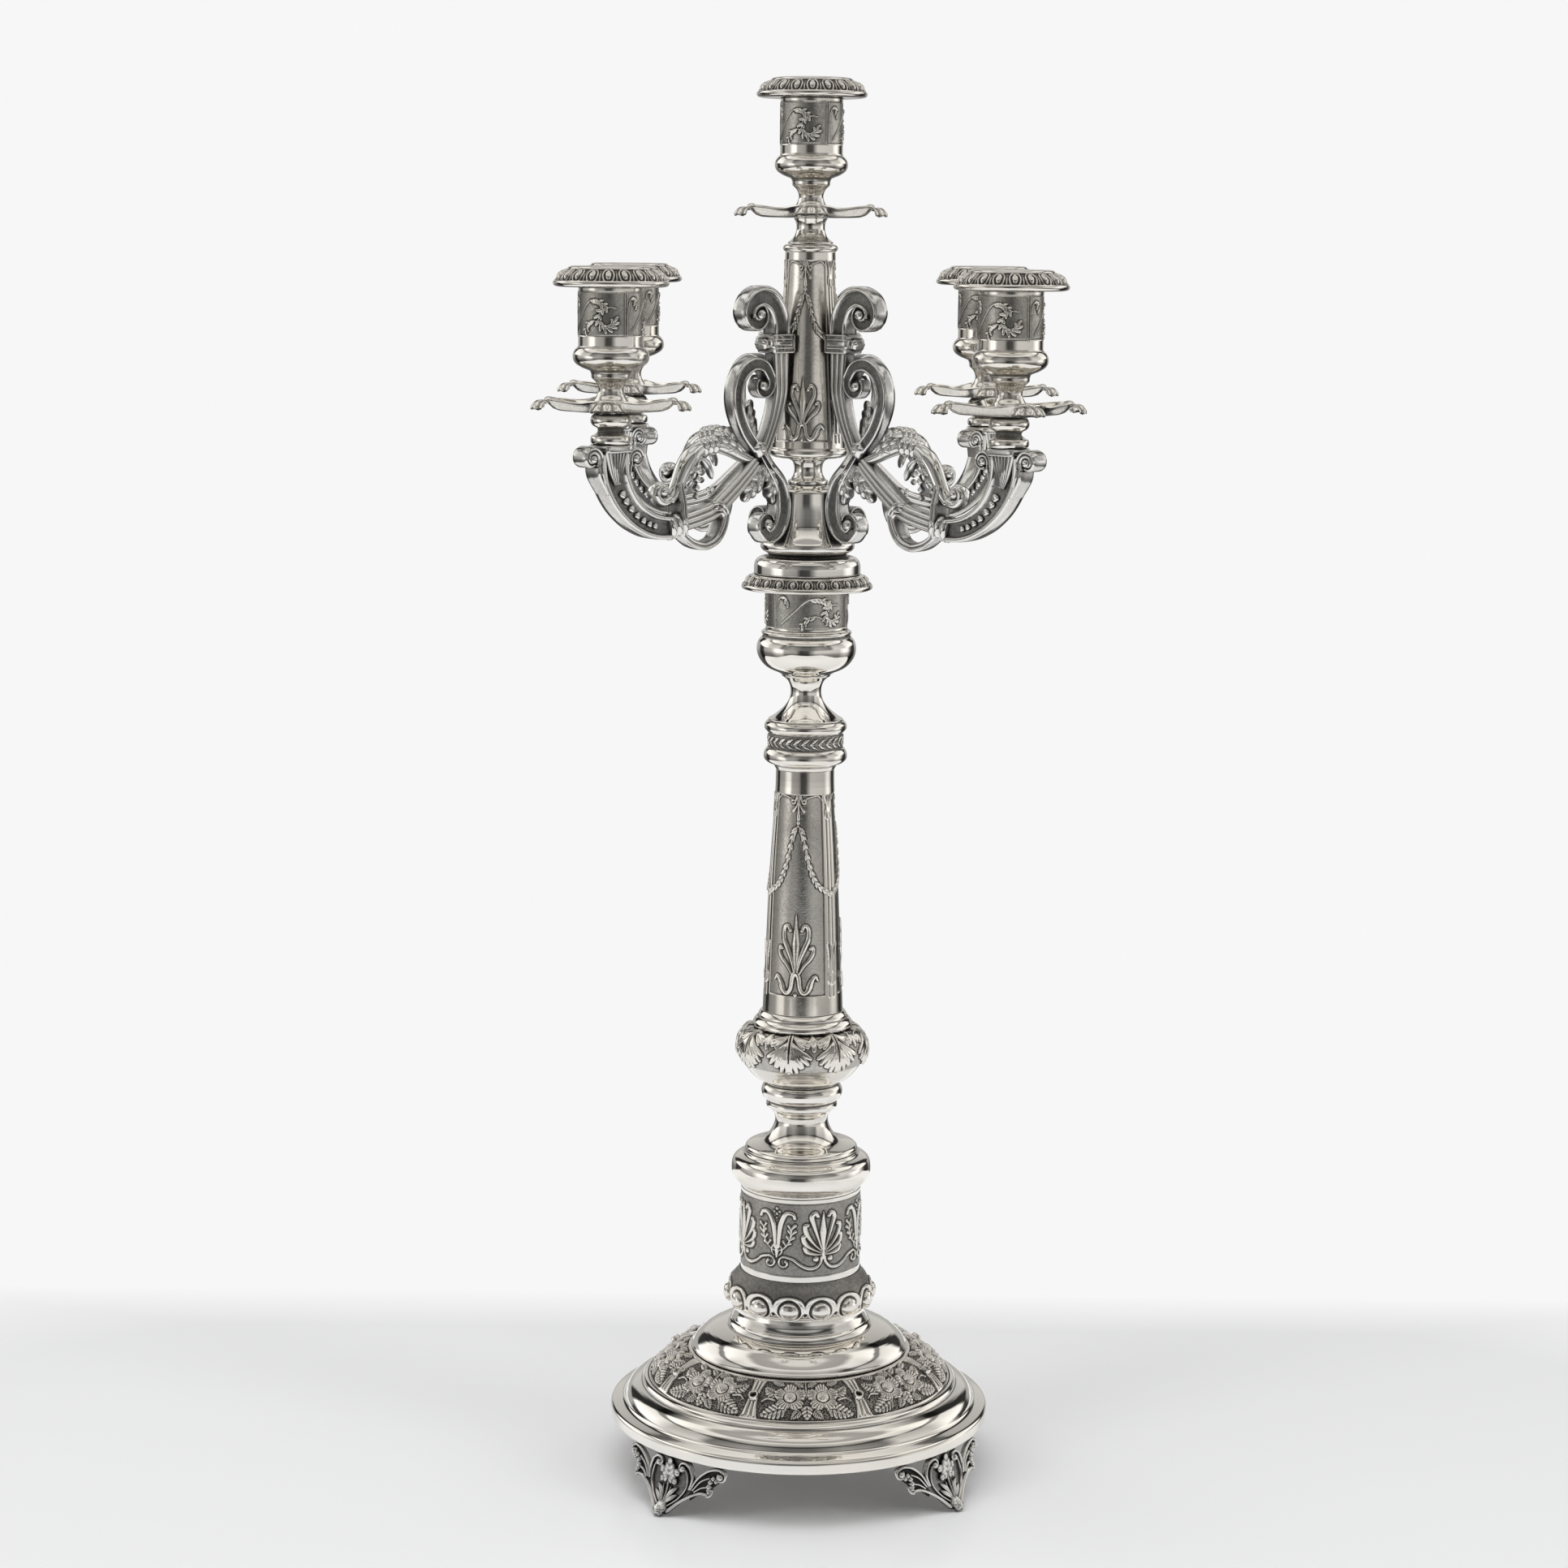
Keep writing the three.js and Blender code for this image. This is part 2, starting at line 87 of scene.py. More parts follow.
def make(node, verts, faces, tone, material):
    """A smooth piece that stands for a CAD node. faces is a list of arrays, one for each number of corners."""
    totals = np.concatenate([np.full(len(f), f.shape[1]) for f in faces])
    loops = np.concatenate([f.ravel() for f in faces])
    mesh = bpy.data.meshes.new(node + "_silver")
    mesh.vertices.add(len(verts))
    mesh.loops.add(len(loops))
    mesh.polygons.add(len(totals))
    for items, key, values in (
        (mesh.vertices, "co", np.asarray(verts, float).ravel() * MM),
        (mesh.loops, "vertex_index", loops.astype(np.int32)),
        (mesh.polygons, "loop_start", (np.cumsum(totals) - totals).astype(np.int32)),
        (mesh.polygons, "loop_total", totals.astype(np.int32)),
        (mesh.polygons, "use_smooth", np.ones(len(totals), bool)),
    ):
        items.foreach_set(key, values)
    mesh.update()
    mesh.validate()
    mesh.attributes.new("tone", "FLOAT", "POINT").data.foreach_set("value", np.float32(tone).ravel())
    mesh.materials.append(material)
    piece = bpy.data.objects.new(node + "_silver", mesh)
    bpy.context.scene.collection.objects.link(piece)
    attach(piece, BODY_OF[node])
    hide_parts(node)


# ---- outlines ----------------------------------------------------------------------------------------
def rounded(points, closed=True, steps=5):
    """Rounds the corners of an [r, z] outline. A third number is a corner's rounding in mm, 0.25 if left out."""
    line = [np.array(p[:2], float) for p in points]
    out = []
    for i, here in enumerate(line):
        if not closed and i in (0, len(line) - 1):
            out.append(here)
            continue
        before, after = line[i - 1] - here, line[(i + 1) % len(line)] - here
        back, on = np.linalg.norm(before), np.linalg.norm(after)
        reach = points[i][2] if len(points[i]) > 2 else 0.25
        start = here + before / back * min(reach, back * 0.499)
        end = here + after / on * min(reach, on * 0.499)
        out += [(1 - t) ** 2 * start + 2 * t * (1 - t) * here + t * t * end for t in np.linspace(0, 1, steps)]
    return np.array(out)


def propped(line, closed=True, gap=0.5):
    """Adds points near both ends of each long straight run, so that smooth shading stays in the corners."""
    out = []
    for i, here in enumerate(line):
        out.append(here)
        if not closed and i == len(line) - 1:
            break
        step = line[(i + 1) % len(line)] - here
        length = np.linalg.norm(step)
        if length > 3 * gap:
            out += [here + step * gap / length, here + step * (1 - gap / length)]
    return np.array(out)


def hollows(line, reach=1.1):
    """0 on the open parts of an outline up to 1 down in its hollows, which keep their tarnish."""
    span = np.linalg.norm(np.roll(line, -1, 0) - np.roll(line, 1, 0), axis=1) / 2
    gap = np.linalg.norm(line[:, None] - line[None], axis=2)
    weight = np.exp(-((gap / reach) ** 2)) * span[None]
    middle = (weight[..., None] * line[None]).sum(1) / weight.sum(1)[:, None]
    along = np.roll(line, -1, 0) - np.roll(line, 1, 0)
    along /= np.linalg.norm(along, axis=1)[:, None] + 1e-9
    outward = np.stack([along[:, 1], -along[:, 0]], 1)
    return np.clip(((middle - line) * outward).sum(1) / 0.2, 0, 1)


def turned(rows, columns, radius, height, centre=(0, 0), start=0.0):
    angle = np.radians(FRONT + start) + np.arange(columns) * 2 * np.pi / columns
    x, y = centre[0] + radius * np.cos(angle), centre[1] + radius * np.sin(angle)
    return np.stack([x, y, np.broadcast_to(height, (rows, columns))], -1).reshape(-1, 3)


def spun(node, points, material, columns=176):
    """A turned piece from a closed [r, z] outline that runs up the outside and down the inside."""
    line = propped(rounded(points))
    line[:, 1] += low_of(node) - line[:, 1].min()
    dark = hollows(line)
    verts = turned(len(line), columns, line[:, :1], line[:, 1:], centre_of(node))
    tone = np.repeat(1 - 0.75 * dark, columns)
    return make(node, verts, [grid_faces(len(line), columns)], tone, material)


# ---- chasing: a height field wrapped round a turned skin ----------------------------------------------
def curve(points, count=40):
    """A smooth line through the points, straight if they are two."""
    p = np.array(points, float)
    if len(p) == 2:
        return p
    p = np.vstack([2 * p[0] - p[1], p, 2 * p[-1] - p[-2]])
    t = np.linspace(0, len(points) - 1 - 1e-9, count)
    i = t.astype(int)
    f = (t - i)[:, None]
    a, b, c, d = p[i], p[i + 1], p[i + 2], p[i + 3]
    return 0.5 * (2 * b + (c - a) * f + (2 * a - 5 * b + 4 * c - d) * f**2 + (3 * b - a - 3 * c + d) * f**3)


def spiral(centre, start_r, end_r, start, sweep, count=28):
    """A spiral round a centre: degrees, anticlockwise when sweep is positive."""
    t = np.linspace(0, 1, count)
    angle = np.radians(start + sweep * t)
    r = start_r + (end_r - start_r) * t**0.8
    return np.stack([centre[0] + r * np.cos(angle), centre[1] + r * np.sin(angle)], 1)


def scrolled(count, points, *eye):
    """A smooth line of count points that runs into the spiral described by eye."""
    return np.vstack([curve(points, count), spiral(*eye)])


def directions(path):
    """Unit steps along a path, and the unit directions to their left."""
    along = np.gradient(path, axis=0)
    along /= np.linalg.norm(along, axis=1)[:, None] + 1e-9
    return along, along[:, ::-1] * [-1, 1]


def run_of(path):
    """How far along the path each of its points lies."""
    return np.r_[0, np.cumsum(np.linalg.norm(np.diff(path, axis=0), axis=1))]


def softening(shape, scale):
    """A low-pass filter for a field of this shape. scale is in cells."""
    fy, fx = np.fft.fftfreq(shape[0])[:, None], np.fft.fftfreq(shape[1])[None]
    return np.exp(-((fx**2 + fy**2) * (scale * 2.2) ** 2))


def grain(shape, scale, seed):
    """Smooth noise that wraps round, about -1 to 1. scale is the grain's size in cells."""
    noise = np.random.default_rng(seed).standard_normal(shape)
    out = np.fft.ifft2(np.fft.fft2(noise) * softening(shape, scale)).real
    return out / (np.abs(out).max() + 1e-9)


def step_up(value, low, high):
    """A soft step from 0 below low to 1 above high."""
    t = np.clip((value - low) / (high - low), 0, 1)
    return t * t * (3 - 2 * t)


def line_at(value, middle, width):
    """A soft line: 1 where value is at its middle."""
    return np.exp(-(((value - middle) / width) ** 2))


class Chasing:
    """One repeat of an ornament: x runs round from -wide/2 to wide/2, z up the skin, heights h in mm."""

    def __init__(self, radius, outside, step, repeats):
        """radius: where the ornament's width is true to its drawing."""
        self.wide, self.repeats, self.outside = 2 * np.pi * radius / repeats, repeats, outside
        self.half = self.wide / 2
        columns, high = round(self.wide / step), run_of(rounded(outside, closed=False))[-1]
        self.z = np.linspace(0, high, round(high / step) + 1)
        self.skin = resampled(rounded(outside, closed=False), len(self.z))
        self.X, self.Z = np.meshgrid((np.arange(columns) / columns - 0.5) * self.wide, self.z)
        self.h, self.matt, self.relief = (np.zeros_like(self.X) for _ in range(3))
        self.patina = 0.0

    def across(self, x):
        """Signed distance from x, the short way round."""
        return (self.X - x + self.half) % self.wide - self.half

    def near(self, path, reach):
        """Rows touched, then for their points: 0..1 along the path, and the signed distance off it."""
        path = np.array(path, float)
        rows = np.nonzero((self.z > path[:, 1].min() - reach) & (self.z < path[:, 1].max() + reach))[0]
        rows = slice(rows[0], rows[-1] + 1)
        run = run_of(path)
        best, along, off = (np.full(self.X[rows].shape, value) for value in (1e9, 0.0, 0.0))
        for a, b, before in zip(path, path[1:], run):
            ex, ez = b - a
            length = math.hypot(ex, ez)
            if length < 1e-6:
                continue
            dx, dz = self.across(a[0])[rows], self.Z[rows] - a[1]
            u = np.clip((dx * ex + dz * ez) / length**2, 0, 1)
            gap = (dx - u * ex) ** 2 + (dz - u * ez) ** 2
            closer = gap < best
            best = np.where(closer, gap, best)
            along = np.where(closer, (before + u * length) / run[-1], along)
            off = np.where(closer, np.sqrt(gap) * np.where(ex * dz - ez * dx < 0, -1, 1), off)
        return rows, along, off

    def ridge(self, path, widths, high, sharp=2.0):
        """A rounded ridge. widths: half widths from start to end."""
        rows, t, s = self.near(path, max(widths) + 0.5)
        w = np.interp(t, np.linspace(0, 1, len(widths)), widths)
        raised = high * np.sqrt(np.clip(1 - np.abs(s / w) ** sharp, 0, 1))
        self.relief[rows] = np.maximum(self.relief[rows], raised)

    def pair(self, path, widths, high, sharp=2.0):
        """The same ridge on both sides of the middle. A list of points is smoothed first."""
        path = curve(path) if isinstance(path, list) else path
        for side in (1, -1):
            self.ridge(path * [side, 1], widths, high, sharp)

    def leaf(self, path, wide, lobes, depth, veins, fold, high=1.5):
        """A lobed leaf along a path, with a midrib groove and a vein down each lobe."""
        rows, t, s = self.near(path, wide * 1.2)
        side = np.abs(s) / wide
        lobe = np.abs(np.sin(np.pi * lobes * (t - 0.22 * side)))
        edge = np.sin(np.pi * t**0.75) ** 0.7 * (1 - depth * (1 - lobe)) + 1e-6
        inside = np.clip(1 - (side / edge) ** 2, 0, 1) ** 0.5
        raised = high * inside * (1 - fold * line_at(s, 0, 0.16 * wide)) * (1 - veins * (1 - lobe))
        self.relief[rows] = np.maximum(self.relief[rows], raised)

    def dome(self, x, z, radii, high, power=0.5):
        rx, rz = np.broadcast_to(radii, 2)
        inside = np.clip(1 - (self.across(x) / rx) ** 2 - ((self.Z - z) / rz) ** 2, 0, 1)
        self.relief = np.maximum(self.relief, high * inside**power)

    def line(self, z, deep=0.3):
        self.h -= deep * line_at(self.Z, z, 0.22)

    def within(self, low, high, soft=0.3):
        """1 between two heights, 0 below and above them."""
        return step_up(self.Z, low, low + soft) * (1 - step_up(self.Z, high - soft, high))

    def finished(self):
        """Heights and tones over the whole turn: relief shines, the matted ground and tight hollows are dark."""
        h = self.h + self.relief
        doubled = np.vstack([h, h[::-1]])
        soft = softening(doubled.shape, 0.9 * h.shape[1] / self.wide)
        blurred = np.fft.ifft2(np.fft.fft2(doubled) * soft).real[: len(h)]
        hollow = np.clip((blurred - h) / 0.2, 0, 1)
        ground = self.matt * (1 - step_up(self.relief, 0.08, 0.4))
        low = self.patina * (1 - step_up(self.relief, 0.2, 1.2)) * (self.matt > 0.5)
        tone = np.clip((1 - 0.5 * ground - 0.75 * hollow) * (1 - low), 0, 1)
        return np.tile(h, self.repeats), np.tile(tone, self.repeats)

    def build(self, node, inside, start=0.0):
        """A turned piece with this chasing on its outside. inside closes it from the top back to the bottom."""
        back = propped(np.array(inside, float), closed=False)
        height, tone = self.finished()
        columns = height.shape[1]
        left = directions(self.skin)[1]
        both = [np.vstack([self.skin[:, [k]] - left[:, [k]] * height, np.repeat(back[:, [k]], columns, 1)])
                for k in (0, 1)]
        whole = np.vstack([self.skin, back])
        both[1] += low_of(node) - whole[:, 1].min()
        tones = np.vstack([tone, np.ones((len(back), columns))]) * (1 - 0.7 * hollows(whole)[:, None])
        verts = turned(len(whole), columns, *both, centre_of(node), start - 180.0 / self.repeats)
        make(node, verts, [grid_faces(len(whole), columns)], tones, CHASED)


def resampled(line, count):
    run = run_of(line)
    at = np.linspace(0, run[-1], count)
    return np.stack([np.interp(at, run, line[:, 0]), np.interp(at, run, line[:, 1])], 1)


# ---- castings: bands, leaves and bosses laid out in one upright plane ----------------------------------
def reeded(count, depth=0.3, points=11):
    """A bar's section with reeds along both flat faces."""
    a = np.linspace(-1, 1, count * points)
    b = 1 - depth * (1 - np.abs(np.sin(np.pi * count * (a + 1) / 2)) ** 0.8)
    return bar_section(a, b)


def railed(points=28):
    """A bar's section with a raised rail along both edges and a sunk panel between them."""
    a = np.linspace(-1, 1, points)
    rail = step_up(np.abs(a), 0.5, 0.68) * (1 - 0.35 * step_up(np.abs(a), 0.85, 1.0))
    return bar_section(a, 0.6 + 0.4 * rail)


def bar_section(a, b):
    front = np.stack([a, b], 1)
    ends = np.linspace(0.7, -0.7, 5)[1:-1]
    right = np.stack([np.sqrt(np.clip(1.1 - ends**2 * 0.2, 0, 1.05)), ends * b[-1]], 1)
    return np.vstack([front, right, front[::-1] * [1, -1], right[::-1] * [-1, 1]])


def oval(points=20):
    angle = -np.arange(points) * 2 * np.pi / points
    return np.stack([np.cos(angle), np.sin(angle)], 1)


def ball_grid():
    """The two angles of a ball's rows, from pole to pole, and columns."""
    return np.meshgrid(np.linspace(0, np.pi, 13)[1:-1], np.arange(24) * 2 * np.pi / 24, indexing="ij")


def turned_by(verts, degrees):
    """Points turned about the upright axis."""
    c, s = math.cos(math.radians(degrees)), math.sin(math.radians(degrees))
    return verts @ np.array([[c, s, 0], [-s, c, 0], [0, 0, 1]])


class Casting:
    """Points are [across, height] in the plane, with depth across it."""

    def __init__(self):
        self.verts, self.faces, self.tones, self.count = [], [], [], 0

    def add(self, verts, tones, faces=None):
        """A grid of rows of points. It is a tube closed at both ends, unless faces says otherwise."""
        self.verts.append(verts.reshape(-1, 3))
        self.faces += [f + self.count for f in faces or sheet_faces(*verts.shape[:2])]
        self.tones.append(np.broadcast_to(tones, verts.shape[:2]).ravel())
        self.count += verts.size // 3

    def add_mirror_image(self):
        """Adds everything so far once more, left for right."""
        self.faces += [f[:, ::-1] + self.count for f in self.faces]
        self.verts += [v * [-1, 1, 1] for v in self.verts]
        self.tones *= 2
        self.count *= 2

    def band(self, path, wide, thick, section, depth=0.0, shade=1.0):
        """Sweeps a section along a path. wide and thick: full sizes from start to end. depth: off the plane.
        shade: the tone of its open parts. The grooves of a moulded section are darker."""
        run = run_of(path)
        wide, thick, off = (np.interp(run / run[-1], np.linspace(0, 1, np.size(v)), np.atleast_1d(v))[:, None]
                            for v in (wide, thick, depth))
        left = directions(path)[1]
        plane = path[:, None] + left[:, None] * (section[None, :, :1] * wide[..., None] / 2)
        out = section[None, :, 1] * thick / 2 + off
        groove = (1 - step_up(np.abs(section[:, 1]), 0.6, 0.97)) * (np.abs(section[:, 0]) < 0.95)
        # painted shade: the sides of a moulded bar are darkened along its edges
        edge = step_up(np.abs(section[:, 0]), 0.95, 1.0)
        moulded = len(section) > 30
        tone = shade * (1 - (0.65 * groove + 0.3 * edge) * moulded)
        self.add(np.stack([plane[..., 0], out, plane[..., 1]], -1), tone)

    def collars(self, path, wide, thick, swell):
        """Three rings side by side round a bar."""
        bulge = swell * np.abs(np.sin(3 * np.pi * np.linspace(0, 1, len(path)))) ** 0.7
        self.band(path, wide + bulge, thick + bulge, oval(26))

    def knob(self, centre, radius, deep, depth=0.0, bumps=0):
        """A button boss across the plane, plain or lobed like a flower."""
        v, u = ball_grid()
        r = radius * np.sin(v) ** 0.8 * (1 + (0.12 * np.cos(bumps * u) if bumps else 0))
        verts = np.stack([centre[0] + r * np.cos(u), depth + deep * np.cos(v), centre[1] + r * np.sin(u)], -1)
        self.add(verts, 1 - 0.6 * np.sin(v) ** 6)

    def leaf(self, path, wide, thick, lobes=4, depth=0.0):
        """A lobed leaf cast in the plane, veined on both faces."""
        t = np.linspace(0, 1, len(path))[:, None]
        v = np.linspace(-1, 1, 15)[None]
        along, left = directions(path)
        swell = np.sin(np.pi * t**0.8) ** 0.65 + 0.03
        lobe = np.abs(np.sin(np.pi * lobes * (t - 0.12 * np.abs(v))))
        reach = wide * swell * (1 - 0.4 * (1 - lobe) * v**2)
        plane = path[:, None] + left[:, None] * (v * reach)[..., None]
        plane = plane + along[:, None] * (np.abs(v) * lobe * wide * 0.25 * swell)[..., None]
        rib = np.sqrt(1 - v**2) * (1 - 0.3 * (1 - lobe) - 0.35 * line_at(v, 0, 0.12))
        out = thick / 2 * (0.25 + 0.75 * rib * swell)
        front, rear = (np.stack([plane[..., 0], depth + face * out, plane[..., 1]], -1) for face in (1, -1))
        tone = np.clip(0.25 + 0.9 * rib * (0.4 + 0.6 * lobe), 0, 1)
        self.add(np.concatenate([front, rear[:, ::-1]], 1), np.concatenate([tone, tone[:, ::-1]], 1))

    def box(self, low, high, deep, bevel=0.8):
        """A block with softened edges, from one corner of the plane to the other."""
        (x0, z0), (x1, z1) = low, high
        z = np.array([z0, z0, z0 + bevel / 3, z0 + bevel, (z0 + z1) / 2, z1 - bevel, z1 - bevel / 3, z1, z1])
        inset = np.array([2.5, 1, 1 / 3, 0, 0, 0, 1 / 3, 1, 2.5])[:, None] * bevel
        square = oval(48) * [1, -1]
        square = np.sign(square) * np.abs(square) ** 0.25
        x = (x0 + x1) / 2 + square[None, :, 0] * ((x1 - x0) / 2 - inset)
        y = square[None, :, 1] * (deep / 2 - inset)
        self.add(np.stack([x, y, np.broadcast_to(z[:, None], x.shape)], -1), 0.8)

    def build(self, node, place, material):
        by_size = {}
        for f in self.faces:
            by_size.setdefault(f.shape[1], []).append(f)
        faces = [np.vstack(group) for group in by_size.values()]
        make(node, place(np.vstack(self.verts)), faces, np.concatenate(self.tones), material)


# ---- materials ---------------------------------------------------------------------------------------
class Nodes:
    """A short way to write a material's node tree."""

    def __init__(self, holder, shader="Principled BSDF"):
        holder.use_nodes = True
        self.holder = holder
        self.tree = holder.node_tree
        self.shader = self.tree.nodes[shader]

    def node(self, kind, values=None, **settings):
        made = self.tree.nodes.new("ShaderNode" + kind)
        for key, value in settings.items():
            setattr(made, key, value)
        for key, value in (values or {}).items():
            if isinstance(value, bpy.types.NodeSocket):
                self.tree.links.new(value, made.inputs[key])
            else:
                made.inputs[key].default_value = value
        return made

    def noise(self, scale, detail=4.0, rough=0.6, vector=None):
        values = {"Scale": scale, "Detail": detail, "Roughness": rough}
        values["Vector"] = vector or self.where
        return self.node("TexNoise", values).outputs["Fac"]

    @property
    def where(self):
        if not hasattr(self, "_where"):
            self._where = self.node("TexCoord").outputs["Object"]
        return self._where

    def ramp(self, value, low, high, to_low=0.0, to_high=1.0):
        values = {"Value": value, "From Min": low, "From Max": high, "To Min": to_low, "To Max": to_high}
        return self.node("MapRange", values).outputs["Result"]

    def math(self, how, a, b=0.0):
        return self.node("Math", {0: a, 1: b}, operation=how).outputs[0]

    def mix(self, amount, a, b):
        made = self.node("Mix", {0: amount}, data_type="RGBA")
        for socket, value in ((made.inputs[6], a), (made.inputs[7], b)):
            if isinstance(value, bpy.types.NodeSocket):
                self.tree.links.new(value, socket)
            else:
                socket.default_value = value
        return made.outputs[2]

    def set(self, **values):
        for key, value in values.items():
            socket = self.shader.inputs[key.replace("_", " ")]
            if isinstance(value, bpy.types.NodeSocket):
                self.tree.links.new(value, socket)
            else:
                socket.default_value = value


def silver(name, bright, tarnish, polish, matting, blotches, reach, dull=0.5):
    """Silver that darkens with the mesh's tone: bright where rubbed, oxidised and grainy in the hollows, and darkened
    by painted shade from ambient occlusion near crevices and neighbouring pieces.
    """
    n = Nodes(bpy.data.materials.new(name))
    tone = n.node("Attribute", attribute_name="tone").outputs["Fac"]
    cloud = n.noise(38.0, 5.0, 0.62)
    fine = n.noise(900.0, 3.0, 0.6)
    # painted shade and tarnish: ambient occlusion, also from neighbouring pieces, darkens the colour within reach (in
    # metres) of crevices and nearby parts; it stands partly for the tarnish kept in hollows and partly for shade
    tarnish_and_painted_shade = n.node("AmbientOcclusion", {"Distance": reach}, samples=6).outputs["AO"]
    tone = n.math("MULTIPLY", tone, n.ramp(tarnish_and_painted_shade, 0.2, 0.75, 0.05, 1.0))
    worn = n.math("ADD", tone, n.ramp(cloud, 0.3, 0.7, -blotches, blotches))
    worn = n.math("ADD", worn, n.ramp(fine, 0.3, 0.7, -0.06, 0.06))
    shine = n.ramp(worn, 0.15, 0.88)
    warm = n.mix(n.ramp(n.noise(16.0, 3.0), 0.35, 0.65), bright, [c * k for c, k in zip(bright, (1, 0.985, 0.95, 1))])
    n.set(Base_Color=n.mix(shine, tarnish, warm), Metallic=n.ramp(shine, 0.0, 0.5, 0.72, 1.0))
    smear = n.ramp(n.noise(120.0, 4.0), 0.35, 0.75, 0.0, 0.05)
    rough = n.math("ADD", n.ramp(shine, 0.0, 1.0, dull, polish), smear)
    n.set(Roughness=rough)
    # slight unevenness from the hammer, hairline scratches, pits and the punched ground of the dark areas
    stretch = n.node("Mapping", {"Vector": n.where, "Scale": (60, 60, 900)}).outputs["Vector"]
    scratch = n.ramp(n.noise(6.0, 6.0, 0.75, vector=stretch), 0.62, 0.7)
    pits = n.node("TexVoronoi", {"Vector": n.where, "Scale": 420.0}).outputs["Distance"]
    pit = n.math("MULTIPLY", n.ramp(pits, 0.0, 0.12, 1.0, 0.0), n.ramp(n.noise(30.0), 0.5, 0.62))
    punched = n.node("TexVoronoi", {"Vector": n.where, "Scale": 2600.0}).outputs["Distance"]
    punched = n.math("MULTIPLY", punched, n.ramp(shine, 0.15, 0.75, matting, 0.0))
    height = n.math("ADD", n.math("MULTIPLY", n.noise(55.0, 2.0), 1.2), n.math("MULTIPLY", scratch, -0.05))
    height = n.math("ADD", height, n.math("MULTIPLY", pit, -0.2))
    height = n.math("ADD", height, punched)
    bump = n.node("Bump", {"Strength": 0.35, "Distance": 0.0002, "Height": height})
    n.set(Normal=bump.outputs["Normal"])
    return n.holder


POLISHED = silver("polished_silver", (0.93, 0.908, 0.87, 1), (0.08, 0.075, 0.068, 1), 0.045, 0.5, 0.03, 0.0035)
CHASED = silver("chased_silver", (0.9, 0.876, 0.832, 1), (0.055, 0.051, 0.046, 1), 0.09, 1.6, 0.10, 0.003, 0.4)
CAST = silver("cast_silver", (0.88, 0.875, 0.862, 1), (0.03, 0.03, 0.03, 1), 0.06, 0.9, 0.12, 0.013)


def steel():
    n = Nodes(bpy.data.materials.new("plain_steel"))
    turned_lines = n.node("Mapping", {"Vector": n.where, "Scale": (20, 20, 700)}).outputs["Vector"]
    lines = n.noise(4.0, 5.0, 0.7, vector=turned_lines)
    spots = n.ramp(n.noise(90.0, 5.0), 0.45, 0.7)
    n.set(Base_Color=n.mix(spots, (0.32, 0.32, 0.33, 1), (0.2, 0.18, 0.165, 1)), Metallic=1.0)
    n.set(Roughness=n.ramp(lines, 0.3, 0.7, 0.35, 0.55))
    n.set(Normal=n.node("Bump", {"Strength": 0.3, "Distance": 0.0002, "Height": lines}).outputs["Normal"])
    return n.holder


STEEL = steel()

# ---- base ----------------------------------------------------------------------------------------------
spun("base_rim", [
    (85.4, 0), (85.8, 0.8, 0.4), (85.8, 4.6, 0.6), (84.9, 5.7, 0.8), (82.6, 6.4, 1), (79.6, 7.2, 1.6),
    (78.8, 9.6, 2.4), (76.6, 12.6, 3.4), (72.6, 14.4, 2), (71.4, 14.7), (71.2, 15.7), (70.3, 16.8, 0.5), (68.9, 17.4),
    (68.5, 16.6), (68.4, 15.5), (66, 15.4), (66, 14), (70.2, 13.2, 2), (75, 11, 3), (77.8, 6.2, 2), (83.6, 4.2),
    (83.8, 0),
], POLISHED, columns=256)
spun("base_dome", [
    (48.4, 0), (48.9, 0.3), (49, 1.1), (48.4, 1.7, 0.5), (47, 4, 3), (42, 8.2, 5), (35, 10.1, 3), (32.6, 10.4, 0.3),
    (32.9, 11), (32.4, 12, 0.5), (31.6, 13.1, 0.8), (30.6, 13.6), (30, 14.8, 2), (28.6, 17, 2), (28.3, 19.6),
    (3.4, 19.6), (3.4, 18), (27.2, 18), (31, 9.6, 2), (43, 7.1, 4), (47.3, 1.2), (47.3, 0),
], POLISHED, columns=224)

# ---- stem ----------------------------------------------------------------------------------------------
spun("drum_cap", [
    (26.9, 0), (27.1, 0.85), (27.7, 1.65), (29.6, 2.85, 1.2), (31.2, 5.65, 2.2), (31.4, 8.85, 2.6), (30.9, 12.45, 2),
    (28.8, 14.15, 1.2), (26.3, 14.95, 0.5), (25.7, 15.55), (25.4, 16.45), (3.4, 16.45), (3.4, 14.85), (25, 14.85),
    (29.4, 9.25, 2), (25.6, 2.65), (25.6, 0),
], POLISHED)
spun("trumpet_stem", [
    (25, 0), (25.3, 0.65), (25.1, 1.65), (24.4, 2.55, 0.5), (22.6, 3.15, 1.2), (17.6, 4.35, 3), (14.4, 7.25, 4),
    (12.1, 11.65, 4), (11.6, 15.25, 3), (12.9, 18.05, 1.6), (14.5, 19.25, 0.4), (14.4, 19.55), (3.4, 19.55), (3.4, 0),
], POLISHED)
spun("knop_collar", [
    (15.4, 0), (15.9, 0.75, 0.4), (15.9, 2.15, 0.4), (15.4, 3.25), (16.9, 4.25, 0.8), (18.2, 6.55, 1.4),
    (18.1, 8.95, 1.4), (16.9, 10.85, 0.8), (16, 11.35), (15.9, 11.85), (3.4, 11.85), (3.4, 0),
], POLISHED)
spun("column_foot_ring", [
    (21.3, 0), (22.2, 0.75, 0.5), (22.3, 2.35, 0.8), (21.1, 4.15, 1.2), (19.9, 4.95, 0.5), (19.8, 5.95, 0.4),
    (19, 7.15, 0.5), (18.4, 7.85), (3.4, 7.85), (3.4, 0),
], POLISHED)
